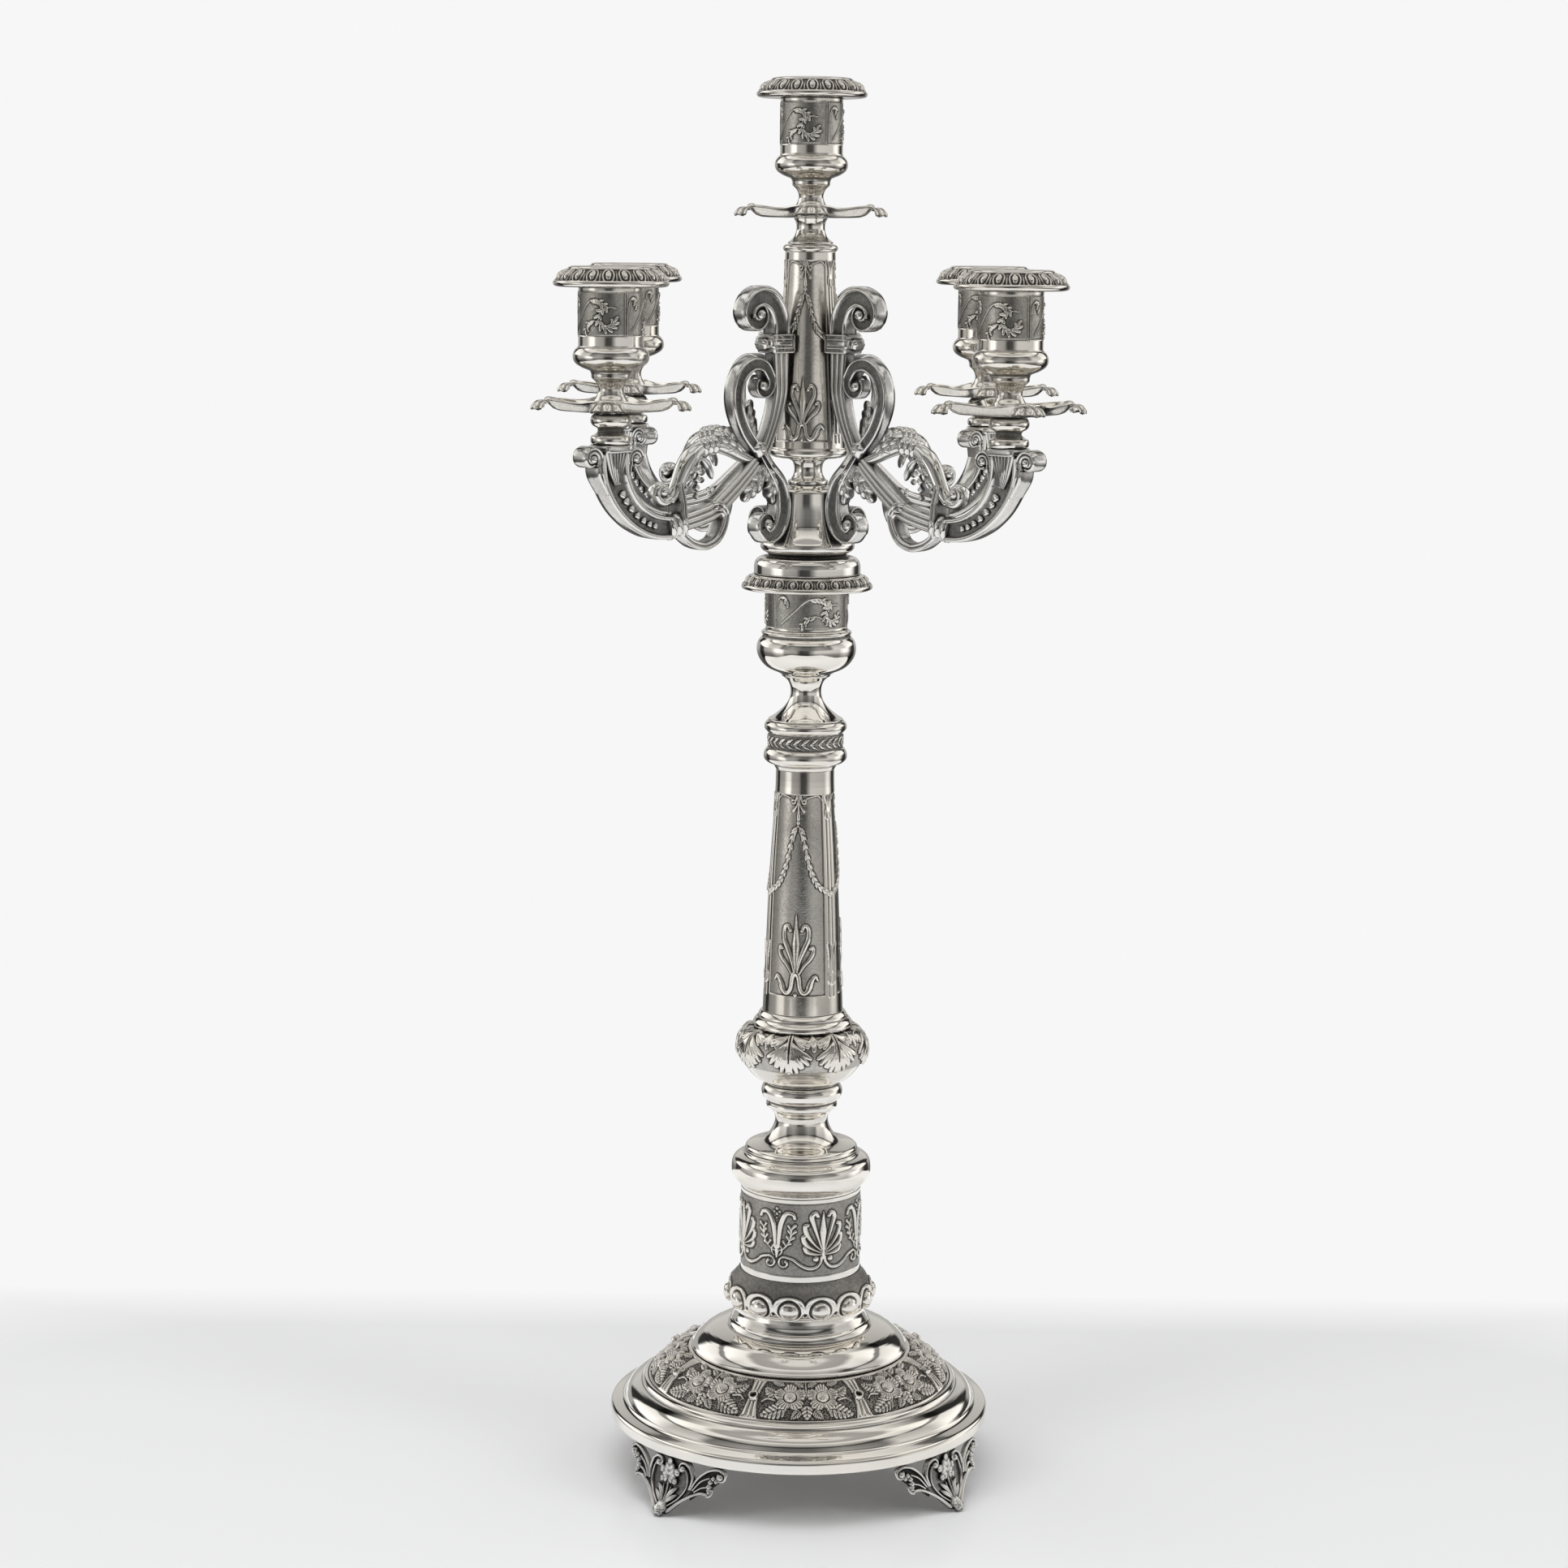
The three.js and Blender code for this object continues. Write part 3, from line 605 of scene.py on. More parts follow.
spun("urn_neck", [
    (16.6, 0), (16.5, 0.55), (14.6, 1.55, 1.4), (11.4, 4.05, 2.6), (8.4, 7.05, 3), (6.8, 10.65, 2.6),
    (6.7, 14.45, 2.4), (8, 17.65, 1.4), (9.8, 19.05, 0.4), (10.8, 19.65, 0.4), (10.8, 20.45), (3.4, 20.45), (3.4, 0),
], POLISHED)
spun("urn_bowl", [
    (11.4, 0), (12.4, 0.65, 0.6), (17.8, 2.85, 3), (21.2, 7.05, 3), (22.1, 11.05, 2.6), (21.4, 14.65, 2),
    (19.4, 16.65, 0.8), (19.2, 17.35), (19.9, 17.95, 0.4), (19.8, 18.85, 0.4), (18.6, 19.45), (18.4, 19.95),
    (3.4, 19.95), (3.4, 18.55), (17, 18.55), (20.4, 10.85, 3), (15.6, 4.05, 2), (9.4, 0),
], POLISHED)

# ---- turned pieces of the branch section -----------------------------------------------------------------
spun("branch_plug", [
    (13.5, 0), (14, 15.45), (23, 15.45), (23.4, 16), (23.4, 19.4, 0.8), (22.6, 21.8, 1.6), (20.8, 23, 0.8),
    (18, 23.4, 0.6), (17, 24.3), (3.4, 24.3), (3.4, 7), (7.2, 7), (7.2, 0),
], POLISHED)
spun("branch_urn", [
    (17, 0), (18.8, 0.75, 0.6), (20.7, 2.35, 1.2), (20.7, 4.55, 1.6), (18, 8.15, 3), (15, 14.15, 4), (14, 21.55, 3),
    (13.6, 27.15, 0.5), (13, 28.25, 0.6), (10.2, 29.35, 1), (8.8, 30.15), (3.4, 30.15), (3.4, 28.55), (12.2, 26.95),
    (12.6, 16.55, 4), (15.4, 4.15, 2), (15.4, 0),
], POLISHED)
spun("branch_neck", [
    (8.5, 0), (8.8, 0.55, 0.4), (8.7, 1.65, 0.4), (7.4, 2.45, 0.8), (6.2, 4.65, 1.6), (6.1, 7.65, 1.8),
    (7, 10.25, 1.2), (8.7, 10.95, 0.3), (8.7, 11.35), (3.4, 11.35), (3.4, 0),
], POLISHED)
spun("upper_column_cap", [
    (10.9, 0), (11.8, 0.75, 0.4), (12, 1.65, 0.6), (11.5, 2.65, 0.5), (10.3, 3.25), (3.4, 3.25), (3.4, 0),
], POLISHED)
spun("finial_neck", [
    (9.8, 0), (9.8, 0.65, 0.3), (8.4, 1.65, 0.8), (6.9, 3.25, 1.4), (6.1, 6.05, 1.6), (6.3, 9.05, 1.4), (7.4, 10.9),
    (3.4, 10.9), (3.4, 0),
], POLISHED)
for where in ARMS:
    spun(f"pan_seat_{where}", [
        (7.4, 0), (8.2, 0.4, 0.3), (8.6, 1.7, 0.8), (8.3, 3.3, 0.6), (6.6, 4.1, 0.6), (5.2, 5.1, 0.8),
        (5.4, 6.5, 0.8), (7.8, 7.7, 1), (8.7, 9.5, 1.2), (8.2, 11.5, 1.2), (6.8, 12.7, 0.6), (6.5, 13.25),
        (3.4, 13.25), (3.4, 0),
    ], POLISHED, columns=96)


# ---- chased pieces -----------------------------------------------------------------------------------
def bead_ring():
    """Domed cabochons in a scalloped band, with a drilled dot between each two."""
    field = Chasing(31, [(27.4, 0), (28.6, 0, 0.2), (29.8, 0.55, 0.5), (31.6, 2.85, 2), (32.4, 6.25, 3),
                         (31.8, 10.45, 3), (30, 14.05, 2), (28, 16.05, 1), (27.6, 17.25, 0.3)], 0.16, 14)
    edge = 10.9 + 3.6 * np.sqrt(np.clip(1 - (field.X / (field.half * 0.95)) ** 2, 0, 1))
    band = step_up(edge - field.Z, -0.25, 0.25) * step_up(field.Z, 2.2, 2.8)
    field.h += (0.6 + 0.35 * line_at(edge - field.Z, 0.5, 0.55)) * band
    field.h -= 0.9 * line_at(np.hypot(field.X / 4.7, (field.Z - 8.1) / 4.5), 1.0, 0.11)
    field.dome(0, 8.1, (4.15, 3.95), 2.0, 0.55)
    dot = np.hypot(np.abs(field.X) - field.half, field.Z - 6.6)
    field.h -= 1 - step_up(dot, 0.5, 0.95)
    # painted reflection: the polished band above the scalloped rail is darkened through the matt tone and the patina,
    # as where it mirrors a dark gap
    field.matt = 1.05 * (1 - band) * step_up(field.Z, 6, 7)
    field.patina = 0.4
    field.build("bead_ring", [(3.4, 17.25), (3.4, 15.45), (26.4, 15.45), (26.5, 0)], start=-8.7)


bead_ring()


def drum_sleeve():
    """Palmettes and lilies joined by S-scrolls on a matted ground, between two engraved lines."""
    field = Chasing(27, [(27, 0), (27, 38.05)], 0.19, 4)
    field.patina = 0.25
    low, high, half = 3.0, 36.1, field.half
    field.line(low)
    field.line(high)
    field.matt = field.within(low, high)
    # lily: a tall petal that turns over, a spray of leaflets, and the scroll's eye at its foot
    field.pair([(0.7, 16), (1.1, 22), (2, 27.5), (4.4, 31.6), (7.4, 31.4), (8.2, 29.6)],
               (0.7, 1.0, 1.2, 1.1, 0.7), 0.75)
    field.pair([(0.6, 14.5), (3, 15.4), (5.4, 18.2), (6.6, 22), (6.6, 24.8)], (0.4, 0.55), 0.5)
    for turn, (x, z) in enumerate([(4.4, 17.2), (6.0, 19.6), (6.8, 22.2), (6.7, 24.6)]):
        field.pair([(x, z), (x + 1.7, z + 0.9 + 0.3 * turn)], (0.5, 0.8), 0.6)
        field.pair([(x - 0.2, z), (x - 1.3, z + 1.7)], (0.4, 0.7), 0.55)
    field.pair([(1.2, 12.4), (2.2, 13.6), (2.4, 15.6), (1.4, 17)], (0.35, 0.5), 0.5)
    stem = [(4.4, 11.6), (7.6, 10.6), (10.8, 8.2), (14.4, 6.6), (17.8, 7), (20, 9.4), (20.5, 12)]
    scroll = np.vstack([spiral((3.4, 9), 1.2, 2.7, 390, -300, 30), curve(stem)])
    field.pair(scroll, (0.5, 0.5, 0.7, 0.8, 0.6), 0.7)
    for side in (1, -1):
        field.dome(side * 4.2, 9.6, 0.75, 0.75)
        field.dome(side * (half - 3.4), 10.9, 1.35, 0.7)
    # palmette: fronds that swell to their curled ends
    for tip in ([(0.7, 15.4), (2.6, 21), (4.4, 26.6), (5.4, 30.4), (3.8, 32), (2.6, 30.6)],
                [(0.9, 14.6), (4.4, 18), (7.6, 22.6), (8.4, 26), (7.2, 26.6)],
                [(1, 13.8), (4.6, 15.4), (8, 17.8), (9.2, 20.8), (8.4, 21.6)],
                [(1, 13), (4, 13.2), (7.2, 14.2), (8.6, 16.2)]):
        field.pair([(half - x, z) for x, z in tip], (0.35, 0.5, 0.85, 1.15, 0.9), 0.8)
    field.ridge([(half, 14), (half, 24), (half, 33)], (0.6, 1.7, 0.15), 0.9, sharp=1.2)
    field.ridge([(half, 11), (half, 15.5)], (0.5, 0.9, 0.5), 0.9)
    field.ridge([(0, 11.5), (0, 17.5)], (0.4, 1.0, 0.3), 0.8)
    for x, z, r in ((0, 31.4, 0.7), (-1.3, 32.4, 0.65), (1.3, 32.4, 0.65), (0, 33.8, 0.75), (0, 29.6, 0.5)):
        field.dome(x, z, r, 0.65)
    field.h += 0.02 * grain(field.h.shape, 2.2, 5) * field.matt
    field.build("drum_sleeve", [(25.8, 38.05), (25.8, 0)], start=-23)


drum_sleeve()


def leaf_knop():
    """Acanthus leaves that hang from the knop's upper edge over a matted ground."""
    field = Chasing(28.4, [(16.4, 0), (17.4, 0.25, 0.3), (21.4, 2.35, 3), (25, 6.55, 3), (26.8, 9.35, 0.4),
                           (27.6, 9.75, 0.3), (28.8, 12.35, 2), (29.4, 15.95, 3), (28.4, 20.55, 3), (25.6, 23.85, 1.5),
                           (24, 24.85, 0.3)], 0.17, 8)
    foot, top = 14.3, field.z[-1]
    field.matt = 0.85 * step_up(field.Z, foot, foot + 0.3)

    def lobe(root, tip, fingers, spread, width, high):
        """A lobe of a leaf: rounded fingers that fan out from one root."""
        root, tip = np.array(root, float), np.array(tip, float)
        for bend in np.linspace(-spread, spread, fingers):
            c, s = math.cos(math.radians(bend)), math.sin(math.radians(bend))
            dx, dz = (tip - root) * (1 - 0.12 * abs(bend) / spread)
            end = root + [dx * c - dz * s, dx * s + dz * c]
            middle = root + (tip - root) * 0.5 + (end - tip) * 0.35
            widths = (0.4, width * 0.85, width * 1.1, width * 1.15, width * 0.8)
            field.ridge(curve([root, middle, end], 14), widths, high, sharp=2.6)

    lobe((field.half, top + 0.6), (field.half, top - 6.4), 3, 30, 1.2, 0.5)
    for side in (-1, 1):
        lobe((side * 0.9, top + 0.4), (side * 8.4, top - 4.8), 3, 13, 1.15, 0.65)
        lobe((side * 0.8, top - 3.0), (side * 7.4, foot + 4.4), 4, 19, 1.1, 0.8)
        lobe((side * 0.6, top - 6.5), (side * 3.4, foot + 1.8), 3, 15, 1.05, 0.95)
        field.ridge([(side * 0.75, top), (side * 0.6, top - 9), (side * 0.3, foot + 2)], (0.55, 0.45, 0.3, 0.2), 1.25)
    lobe((0, foot + 6), (0, foot + 0.9), 3, 14, 0.9, 1.05)
    field.h += 0.03 * grain(field.h.shape, 2.0, 9) * field.matt
    field.build("leaf_knop", [(3.4, 24.85), (3.4, 23.35), (23, 23.35), (27, 14.95), (22, 4.55), (16.2, 0)], start=-12)


leaf_knop()


def column(node, outside, inside, start, panel, width, palmette, hang, matt):
    """A tapered column in three panels, with pilasters between them. panel: its foot and head, up the skin.
    width: half a panel's. palmette: its height. hang: the garland's drop below the panel's head."""
    low, high = panel
    field = Chasing(COLUMN_PANEL * 3 / (2 * np.pi), outside, 0.19, 3)
    half = field.half
    sunk = step_up(width - np.abs(field.X), -0.15, 0.35) * field.within(low, high, 0.5)
    field.h -= 0.45 * sunk
    field.matt = matt * sunk
    # pilasters between the panels: two flutes, two clasps and what rises from them
    flutes = line_at(np.abs(np.abs(field.X) - half), 1.15, 0.42)
    field.h -= 0.5 * flutes * step_up(field.Z, low - 1.2, low - 0.2) * (1 - step_up(field.Z, high - 8.4, high - 8.0))
    scale = palmette / 34.0
    for clasp, deep, foot, tall in ((high - 9.2, 1.2, high - 7.4, 7.2),
                                    (low + 6.2 * scale, 1.8 * scale, low + 8.6 * scale, 13 * scale)):
        field.ridge([(half, clasp), (half, clasp + deep)], (2.5, 2.5), 0.5, sharp=6)
        field.pair([(half - 1, foot), (half - 1.4, foot + tall * 0.5), (half - 2.6, foot + tall)],
                   (0.8, 0.7, 0.35), 0.55)
        field.pair([(half - 0.35, foot), (half - 0.6, foot + tall * 0.95)], (0.5, 0.5, 0.2), 0.5)
    # palmette over its W-shaped foot
    for path, widths, raised in (
        ([(0.3, 9.6), (1.6, 15), (3.6, 20), (5.3, 24), (5.2, 28.2), (3.6, 29.4), (2.6, 27.6)],
         (0.5, 0.8, 1.1, 0.9, 0.7), 0.8),
        ([(1.6, 9.6), (3.6, 13), (5.9, 15.6), (7.4, 18.4), (7.2, 20.4), (6.3, 20.2)], (0.4, 0.7, 0.9, 0.6), 0.75),
        ([(0, 10.4), (1.3, 8), (2, 3.4), (3.4, 1.4), (5.2, 2.6), (6.6, 6.4), (8.2, 8.4), (9.3, 6.6)],
         (1.0, 0.9, 0.8, 0.9, 1.3, 0.9, 0.35), 0.85),
    ):
        field.pair([(x, low + z * scale) for x, z in path], widths, raised)
    field.ridge([(0, low + 9 * scale), (0, low + 24 * scale), (0, low + palmette)], (0.7, 1.6, 0.2), 0.9, sharp=1.2)
    for side in (1, -1):
        field.dome(side * 2.5, low + 27.4 * scale, 0.8, 0.95)
        field.dome(side * 6.2, low + 19.9 * scale, 0.75, 0.9)
    # hanging anthemion under the panel's arched head
    field.pair([(width, high - 2.4), (width - 2.6, high - 0.6), (5, high - 1.4), (3.8, high - 2.2)], (0.25, 0.3), 0.4)
    curl = np.vstack([[(0.9, high - 0.5), (1.6, high - 2.4)], spiral((3, high - 2.9), 1.35, 0.5, 160, 330, 20)])
    field.pair(curl, (0.45, 0.5, 0.45), 0.6)
    field.pair([(0.5, high - 3.6), (1.3, high - 5.4), (2.8, high - 7.2)], (0.3, 0.45, 0.75), 0.6)
    field.ridge([(0, high - 3.2), (0, high - 10.6)], (0.35, 0.5, 0.9), 0.65)
    for x in (-0.7, 0, 0.7):
        field.ridge([(x, high - 0.6), (x * 0.7, high - 3.4)], (0.3, 0.3), 0.55)
    field.dome(0, high - 12.4, 0.95, 0.9)
    field.dome(0, low + 0.9, 0.75, 0.7)
    # laurel garland
    rope = curve([(0, high - 13.6), (2.4, high - 18), (5.6, high - 18 - (hang - 13) * 0.45), (9.4, high - hang * 0.93),
                  (half, high - hang - 2)])
    field.pair(rope, (0.3, 0.7, 0.8), 0.5)
    along, left = directions(rope)
    for k in range(4, 38, 3):
        for turn in (-1, 1):
            leaf = np.array([rope[k] - along[k] * 0.6, rope[k] + along[k] * 2.3 + left[k] * turn * 1.15])
            field.pair(leaf, (0.35, 0.7, 0.12), 0.85, sharp=1.6)
    field.h += 0.025 * grain(field.h.shape, 2.0, 11) * field.matt
    field.build(node, inside, start=start)


COLUMN_PANEL = 32.4  # the drawn width of a column's third
column("lower_column", [(17.9, 0), (15.6, 62.95, 20), (13, 99.95, 10), (12.9, 108.85)], [(11.7, 108.85), (16.7, 0)],
       start=-12, panel=(8.8, 99.0), width=12.7, palmette=37, hang=43, matt=0.8)
# painted light: the upper column's matted ground gets a lighter tone than the lower column's (matt 0.3 against 0.8),
# against the shade of the brackets round it
column("upper_column", [(12, 0), (14.6, 0.25, 1), (17.3, 1.35, 0.6), (17.8, 2.35, 0.5), (17.6, 3.75, 0.4),
                        (16.9, 4.55, 0.3), (16.8, 5.75, 0.4), (14.2, 36.75, 20), (11.2, 76.75, 10), (10.9, 88.75)],
       [(9.7, 88.75), (15.4, 5.75), (15.4, 2.95), (3.4, 2.15), (3.4, 0)],
       start=-11, panel=(12.2, 90.0), width=12.6, palmette=28, hang=34, matt=0.3)


def capital():
    """A laurel band between two mouldings."""
    field = Chasing(16.6, [(13, 0), (13.4, 0.55, 0.3), (14, 1.95, 1), (16.6, 2.85, 0.5), (18.4, 4.35, 1.2),
                           (18.5, 7.15, 1.4), (17.2, 9.25, 0.6), (16.3, 9.75, 0.2), (16.4, 10.35, 0.2),
                           (16.5, 14.95, 0.2), (16.3, 15.95, 0.3), (17, 16.65, 0.3), (18.2, 17.95, 0.8),
                           (18.2, 19.95, 0.9), (17, 21.35, 0.4), (16.6, 21.55)], 0.13, 28)
    low, high = np.interp([10.25, 15.35], field.skin[:, 1], field.z)
    middle = (low + high) / 2
    field.matt = field.within(low - 0.1, high + 0.1, 0.2)
    field.ridge([(-1.7, middle - 0.2), (1.7, middle - 0.2)], (0.22, 0.22), 0.35)
    field.ridge([(-1.4, middle), (0.2, middle + 1.3), (1.7, middle + 2.1)], (0.3, 0.75, 0.3), 0.5, sharp=1.6)
    field.ridge([(-1.4, middle - 0.4), (0.2, middle - 1.6), (1.7, middle - 2.2)], (0.25, 0.55, 0.2), 0.42, sharp=1.6)
    field.build("column_capital", [(3.4, 21.55), (3.4, 0)])


capital()


def vine(field, low, high):
    """A running vine: in each repeat one stem climbs and arches over, and one curls under it."""
    field.patina = 0.2
    tall = high - low

    def stem(points, count, widths, raised, *sprays):
        """A stem through points given in 28ths of the repeat and parts of the height, or along a path.
        sprays: (places of leaflets along it, the side they are on, their length, their half width)."""
        if isinstance(points, list):
            points = curve([(x * field.wide / 28, low + z * tall) for x, z in points], count)
        field.ridge(points, widths, raised)
        along, left = directions(points)
        for places, side, long, thick in sprays:
            for k in places:
                tip = points[k] + (along[k] * 0.9 + left[k] * side * 0.8) * long
                field.ridge([points[k], tip], (thick * 0.5, thick, thick * 0.75), 0.6, sharp=1.8)

    stem([(-11.5, 0.06), (-7, 0.42), (-2.6, 0.78), (1.4, 0.86), (5.2, 0.72)], 44, (0.2, 0.26, 0.22), 0.36,
         ((25, 29, 33, 37, 40, 43), -1, 2.1, 0.72), ((36, 41), 1, 1.3, 0.55))
    curl = spiral((6.6 * field.wide / 28, low + 0.34 * tall), 0.36 * tall, 0.13 * tall, 60, 300, 44)
    stem(curl, 44, (0.22, 0.28, 0.4), 0.42, (range(5, 43, 4), -1, 1.9, 0.75), (range(8, 43, 5), 1, 1.5, 0.65))
    stem([(5.6, 0.02), (2, 0.3), (-1.6, 0.3), (-3.8, 0.1)], 30, (0.18, 0.24, 0.2), 0.34,
         ((14, 19, 24, 29), 1, 1.9, 0.7), ((21, 28), -1, 1.2, 0.55))
    stem([(-13, 0.5), (-12.4, 0.8), (-10.4, 0.92), (-8.8, 0.76)], 24, (0.2, 0.24, 0.2), 0.34,
         ((11, 15, 19, 23), -1, 1.8, 0.65))
    # the two lines of the seam
    for x in (field.half - 0.45, field.half + 0.45):
        field.ridge([(x, low - 1.2), (x, high + 1.0)], (0.2, 0.2), 0.28)


def main_socket():
    field = Chasing(18, [(18, 0), (18, 17.15)], 0.17, 3)
    field.line(1.3, deep=0.2)
    field.matt = 0.75 * step_up(field.Z, 1.3, 1.6)
    vine(field, 2.0, 16.6)
    field.build("main_socket", [(16.8, 17.15), (16.8, 1.55), (3.4, 1.55), (3.4, 0)], start=10)


main_socket()


def nozzle(node, outside, inside, eggs, low, high, step, radius):
    """A nozzle whose sloping collar is worked into eggs in raised frames, with a dart between each two."""
    field = Chasing(radius, outside, step, eggs)
    across = np.abs(field.X) / field.half
    t = (field.Z - low) / (high - low)
    worked = step_up(t, 0.0, 0.06) * (1 - step_up(t, 0.94, 1.0))
    egg = 0.85 * np.clip(1 - (across / 0.36) ** 2 - ((t - 0.48) / 0.4) ** 2, 0, 1) ** 0.5
    frame_line = 0.6 * line_at(np.hypot(across / 0.68, (t - 0.44) / 0.54), 1.0, 0.11)
    dart = 0.3 * line_at(across, 1.0, 0.09) * (1 - step_up(t, 0.4, 0.7))
    field.relief = worked * np.maximum(egg, np.maximum(frame_line, dart))
    field.h -= 0.4 * worked
    field.matt = 1.25 * worked
    field.build(node, inside)


nozzle("main_nozzle",
       [(16.3, 0), (16.3, 14.75), (26, 14.75, 0.3), (28.2, 14.9, 0.4), (28.9, 15.6, 0.5), (28.8, 16.6, 0.5),
        (28.2, 17.3, 0.4), (27.4, 17.6, 0.2), (26.6, 19.6, 1.2), (24.9, 20.9, 0.8), (23.9, 21.3)],
       [(14.6, 21.3), (14.6, 0)], 26, 29.1, 34.2, 0.16, 26)
for where in LIGHTS:
    nozzle(f"candle_nozzle_{where}",
           [(12.1, 0), (12.1, 12.75), (21.6, 12.75, 0.3), (23.4, 13.2, 0.5), (24, 14.2, 0.5), (23.7, 15.2, 0.5),
            (22.9, 15.7, 0.3), (21.9, 17.9, 1.4), (19.4, 19.6, 1.2), (17.9, 20, 0.2), (17.4, 20.9, 0.4),
            (16.4, 21.3, 0.4), (12.2, 21.3, 0.3), (11.5, 20.8, 0.4)],
           [(11.3, 19.4), (11.25, 0)], 20, 26.6, 34.1, 0.17, 20.6)


def candle_socket(node):
    """A cup on a baluster neck: engraved lines above and below its vine."""
    field = Chasing(13.4, [
        (2.9, 0), (2.95, 6.35, 0.1), (7.3, 6.35, 0.4), (7.7, 7.2, 0.6), (7.2, 9.6, 1.4), (5.6, 12, 1.6),
        (5.2, 14.6, 1.6), (6.3, 17.2, 1.2), (7.5, 18.2, 0.2), (8.2, 18.9, 0.4), (8.3, 20.6, 0.4), (8.6, 21.6, 0.3),
        (12.2, 23, 0.8), (14.8, 24.6, 1.2), (15.9, 26.6, 1.2), (15.7, 29, 1.2), (14.5, 30.8, 0.6), (13.6, 31.4, 0.3),
        (13.5, 32.4, 0.3), (13.4, 55.6),
    ], 0.21, 3)
    top = field.z[-1]
    foot = top - 23.2
    field.line(foot + 3.8, deep=0.22)
    field.line(top - 1.7, deep=0.2)
    field.matt = 0.7 * field.within(foot + 3.9, top - 1.7)
    vine(field, foot + 4.6, top - 2.6)
    field.build(node, [(12.6, 55.6), (12.6, 32.6), (0.6, 32.6), (0.6, 0)], start=-30)


for where in LIGHTS:
    candle_socket(f"candle_socket_{where}")


def flower_band():
    """Eight panels with a pair of flowers in each, between fluted straps that carry a ring."""
    field = Chasing(60, [(68.3, 0), (68.6, 1.25, 0.3), (68.2, 2.25, 0.3), (62, 9.25, 8), (54, 13.45, 6),
                         (49.8, 14.65, 0.6), (48, 14.9)], 0.2, 8)
    field.patina = 0.3
    low, high = 2.9, field.z[-1] - 2.6
    mid = (low + high) / 2
    away = field.half - np.abs(field.X)
    off_mid = np.abs(field.Z - mid)
    strap_edge = 2.0 + 1.5 * (2 * off_mid / (high - low)) ** 1.6
    strap = 1 - step_up(away - strap_edge, -0.2, 0.2)
    field.matt = field.within(low - 0.3, high + 0.3, 0.6) * (1 - strap)
    field.h -= 0.7 * field.matt
    flutes = 0.3 * np.cos(np.clip(away / strap_edge, 0, 1) * 3 * np.pi) + 0.3 * line_at(away, strap_edge - 0.35, 0.3)
    field.h += flutes * strap * step_up(off_mid, 2.6, 3.2) * (1 - step_up(off_mid, mid - low - 1.2, mid - low))
    ring = np.hypot(away, field.Z - mid)
    field.relief = 1.7 * line_at(ring, 1.75, 0.6) * (away < 4)
    field.h -= 0.9 * (1 - step_up(ring, 0.7, 1.2))
    middle = mid + 0.9
    for side in (1, -1):
        for path, wide in (([(8.6, low + 6.6), (13, low + 4.2), (19, low + 1.6)], 3.9),
                           ([(12.4, middle + 1), (16.2, middle + 2.2), (19.4, middle + 5)], 2.9),
                           ([(1, high - 3.4), (3.2, high - 2), (6, high - 0.8)], 1.7),
                           ([(3, low + 5), (4.4, low + 3), (6.4, low + 0.8)], 2.0),
                           ([(10.6, high - 2.8), (13.4, high - 1.6), (16.8, high - 0.8)], 1.8)):
            field.leaf(curve(path) * [side, 1], wide, lobes=6, depth=0.22, veins=0.65, fold=0.6)
        field.ridge(curve([(14, mid - 1), (17.2, mid - 0.4), (19.4, mid - 2.2)]) * [side, 1], (0.5, 0.35), 0.9)
        flower(field, side * 7.3, middle)
    field.leaf([(0, low + 7.4), (0, low + 0.4)], 2.6, lobes=4, depth=0.15, veins=0.6, fold=0.5)
    field.ridge([(0, high), (0, middle)], (0.35, 0.35), 0.8)
    scratches = grain(field.h.shape, 1.6, 21)
    field.h += 0.75 * scratches * (field.matt > 0.5) * (field.relief < 0.2)
    field.build("flower_band", [(46.5, 14.9), (46.5, 13.45), (49.2, 13.45), (57.6, 9.25), (66.4, 0)], start=3)


def flower(field, x, z):
    """Five cupped petals, veined, round a berry."""
    dx, dz = field.across(x), field.Z - z
    r, a = np.hypot(dx, dz), np.arctan2(dz, dx * math.copysign(1, x))
    petal = np.abs(np.cos(2.5 * (a - 0.3))) ** 0.45
    reach = 7.6 * (0.58 + 0.42 * petal) * (1 + 0.035 * np.cos(19 * a))
    edge = 0.5 + 0.5 * step_up(reach - r, 0, 0.5)
    veins = 1 - 0.42 * np.abs(np.cos(15 * a)) ** 3 * step_up(r, 3.2, 4.2)
    cup = 0.75 + 0.95 * step_up(r, 3.4, 6.0) - 0.45 * step_up(r / reach, 0.85, 1.0)
    body = edge * cup * veins * (0.35 + 0.65 * petal) * step_up(r, 2.7, 3.5)
    field.relief = np.where(r < reach, body, field.relief)
    berry = 2.5 * np.clip(1 - (r / 2.85) ** 2, 0, 1) ** 0.5 * (0.88 + 0.12 * np.cos(5.5 * dx) * np.cos(5.5 * dz))
    field.relief = np.maximum(field.relief, berry)


flower_band()


# ---- drip pans -----------------------------------------------------------------------------------------
PAN_EDGE = ([0, 0.1, 0.2, 0.32, 0.46, 0.62, 0.785], [28.0, 27.4, 25.8, 22.6, 20.3, 19.0, 18.6])  # from a corner, radius
# the dish's section: fraction of the edge's radius, height, and how much of the rim's wave it takes
PAN_SECTION = [
    (0, 1.2, 0), (0.12, 1.2, 0), (0.3, 1, 0), (0.45, 0.8, 0), (0.6, 0.8, 0.1), (0.74, 1.2, 0.3), (0.84, 2.2, 0.6),
    (0.91, 3.6, 0.9), (0.955, 4.6, 1), (0.98, 5, 1), (1, 4.9, 1), (1.01, 4.4, 1), (1, 3.9, 1), (0.97, 3, 1),
    (0.93, 1.9, 0.8), (0.86, 0.7, 0.5), (0.76, 0.1, 0.2), (0.6, 0, 0), (0.4, 0, 0), (0.2, 0, 0), (0, 0, 0),
]


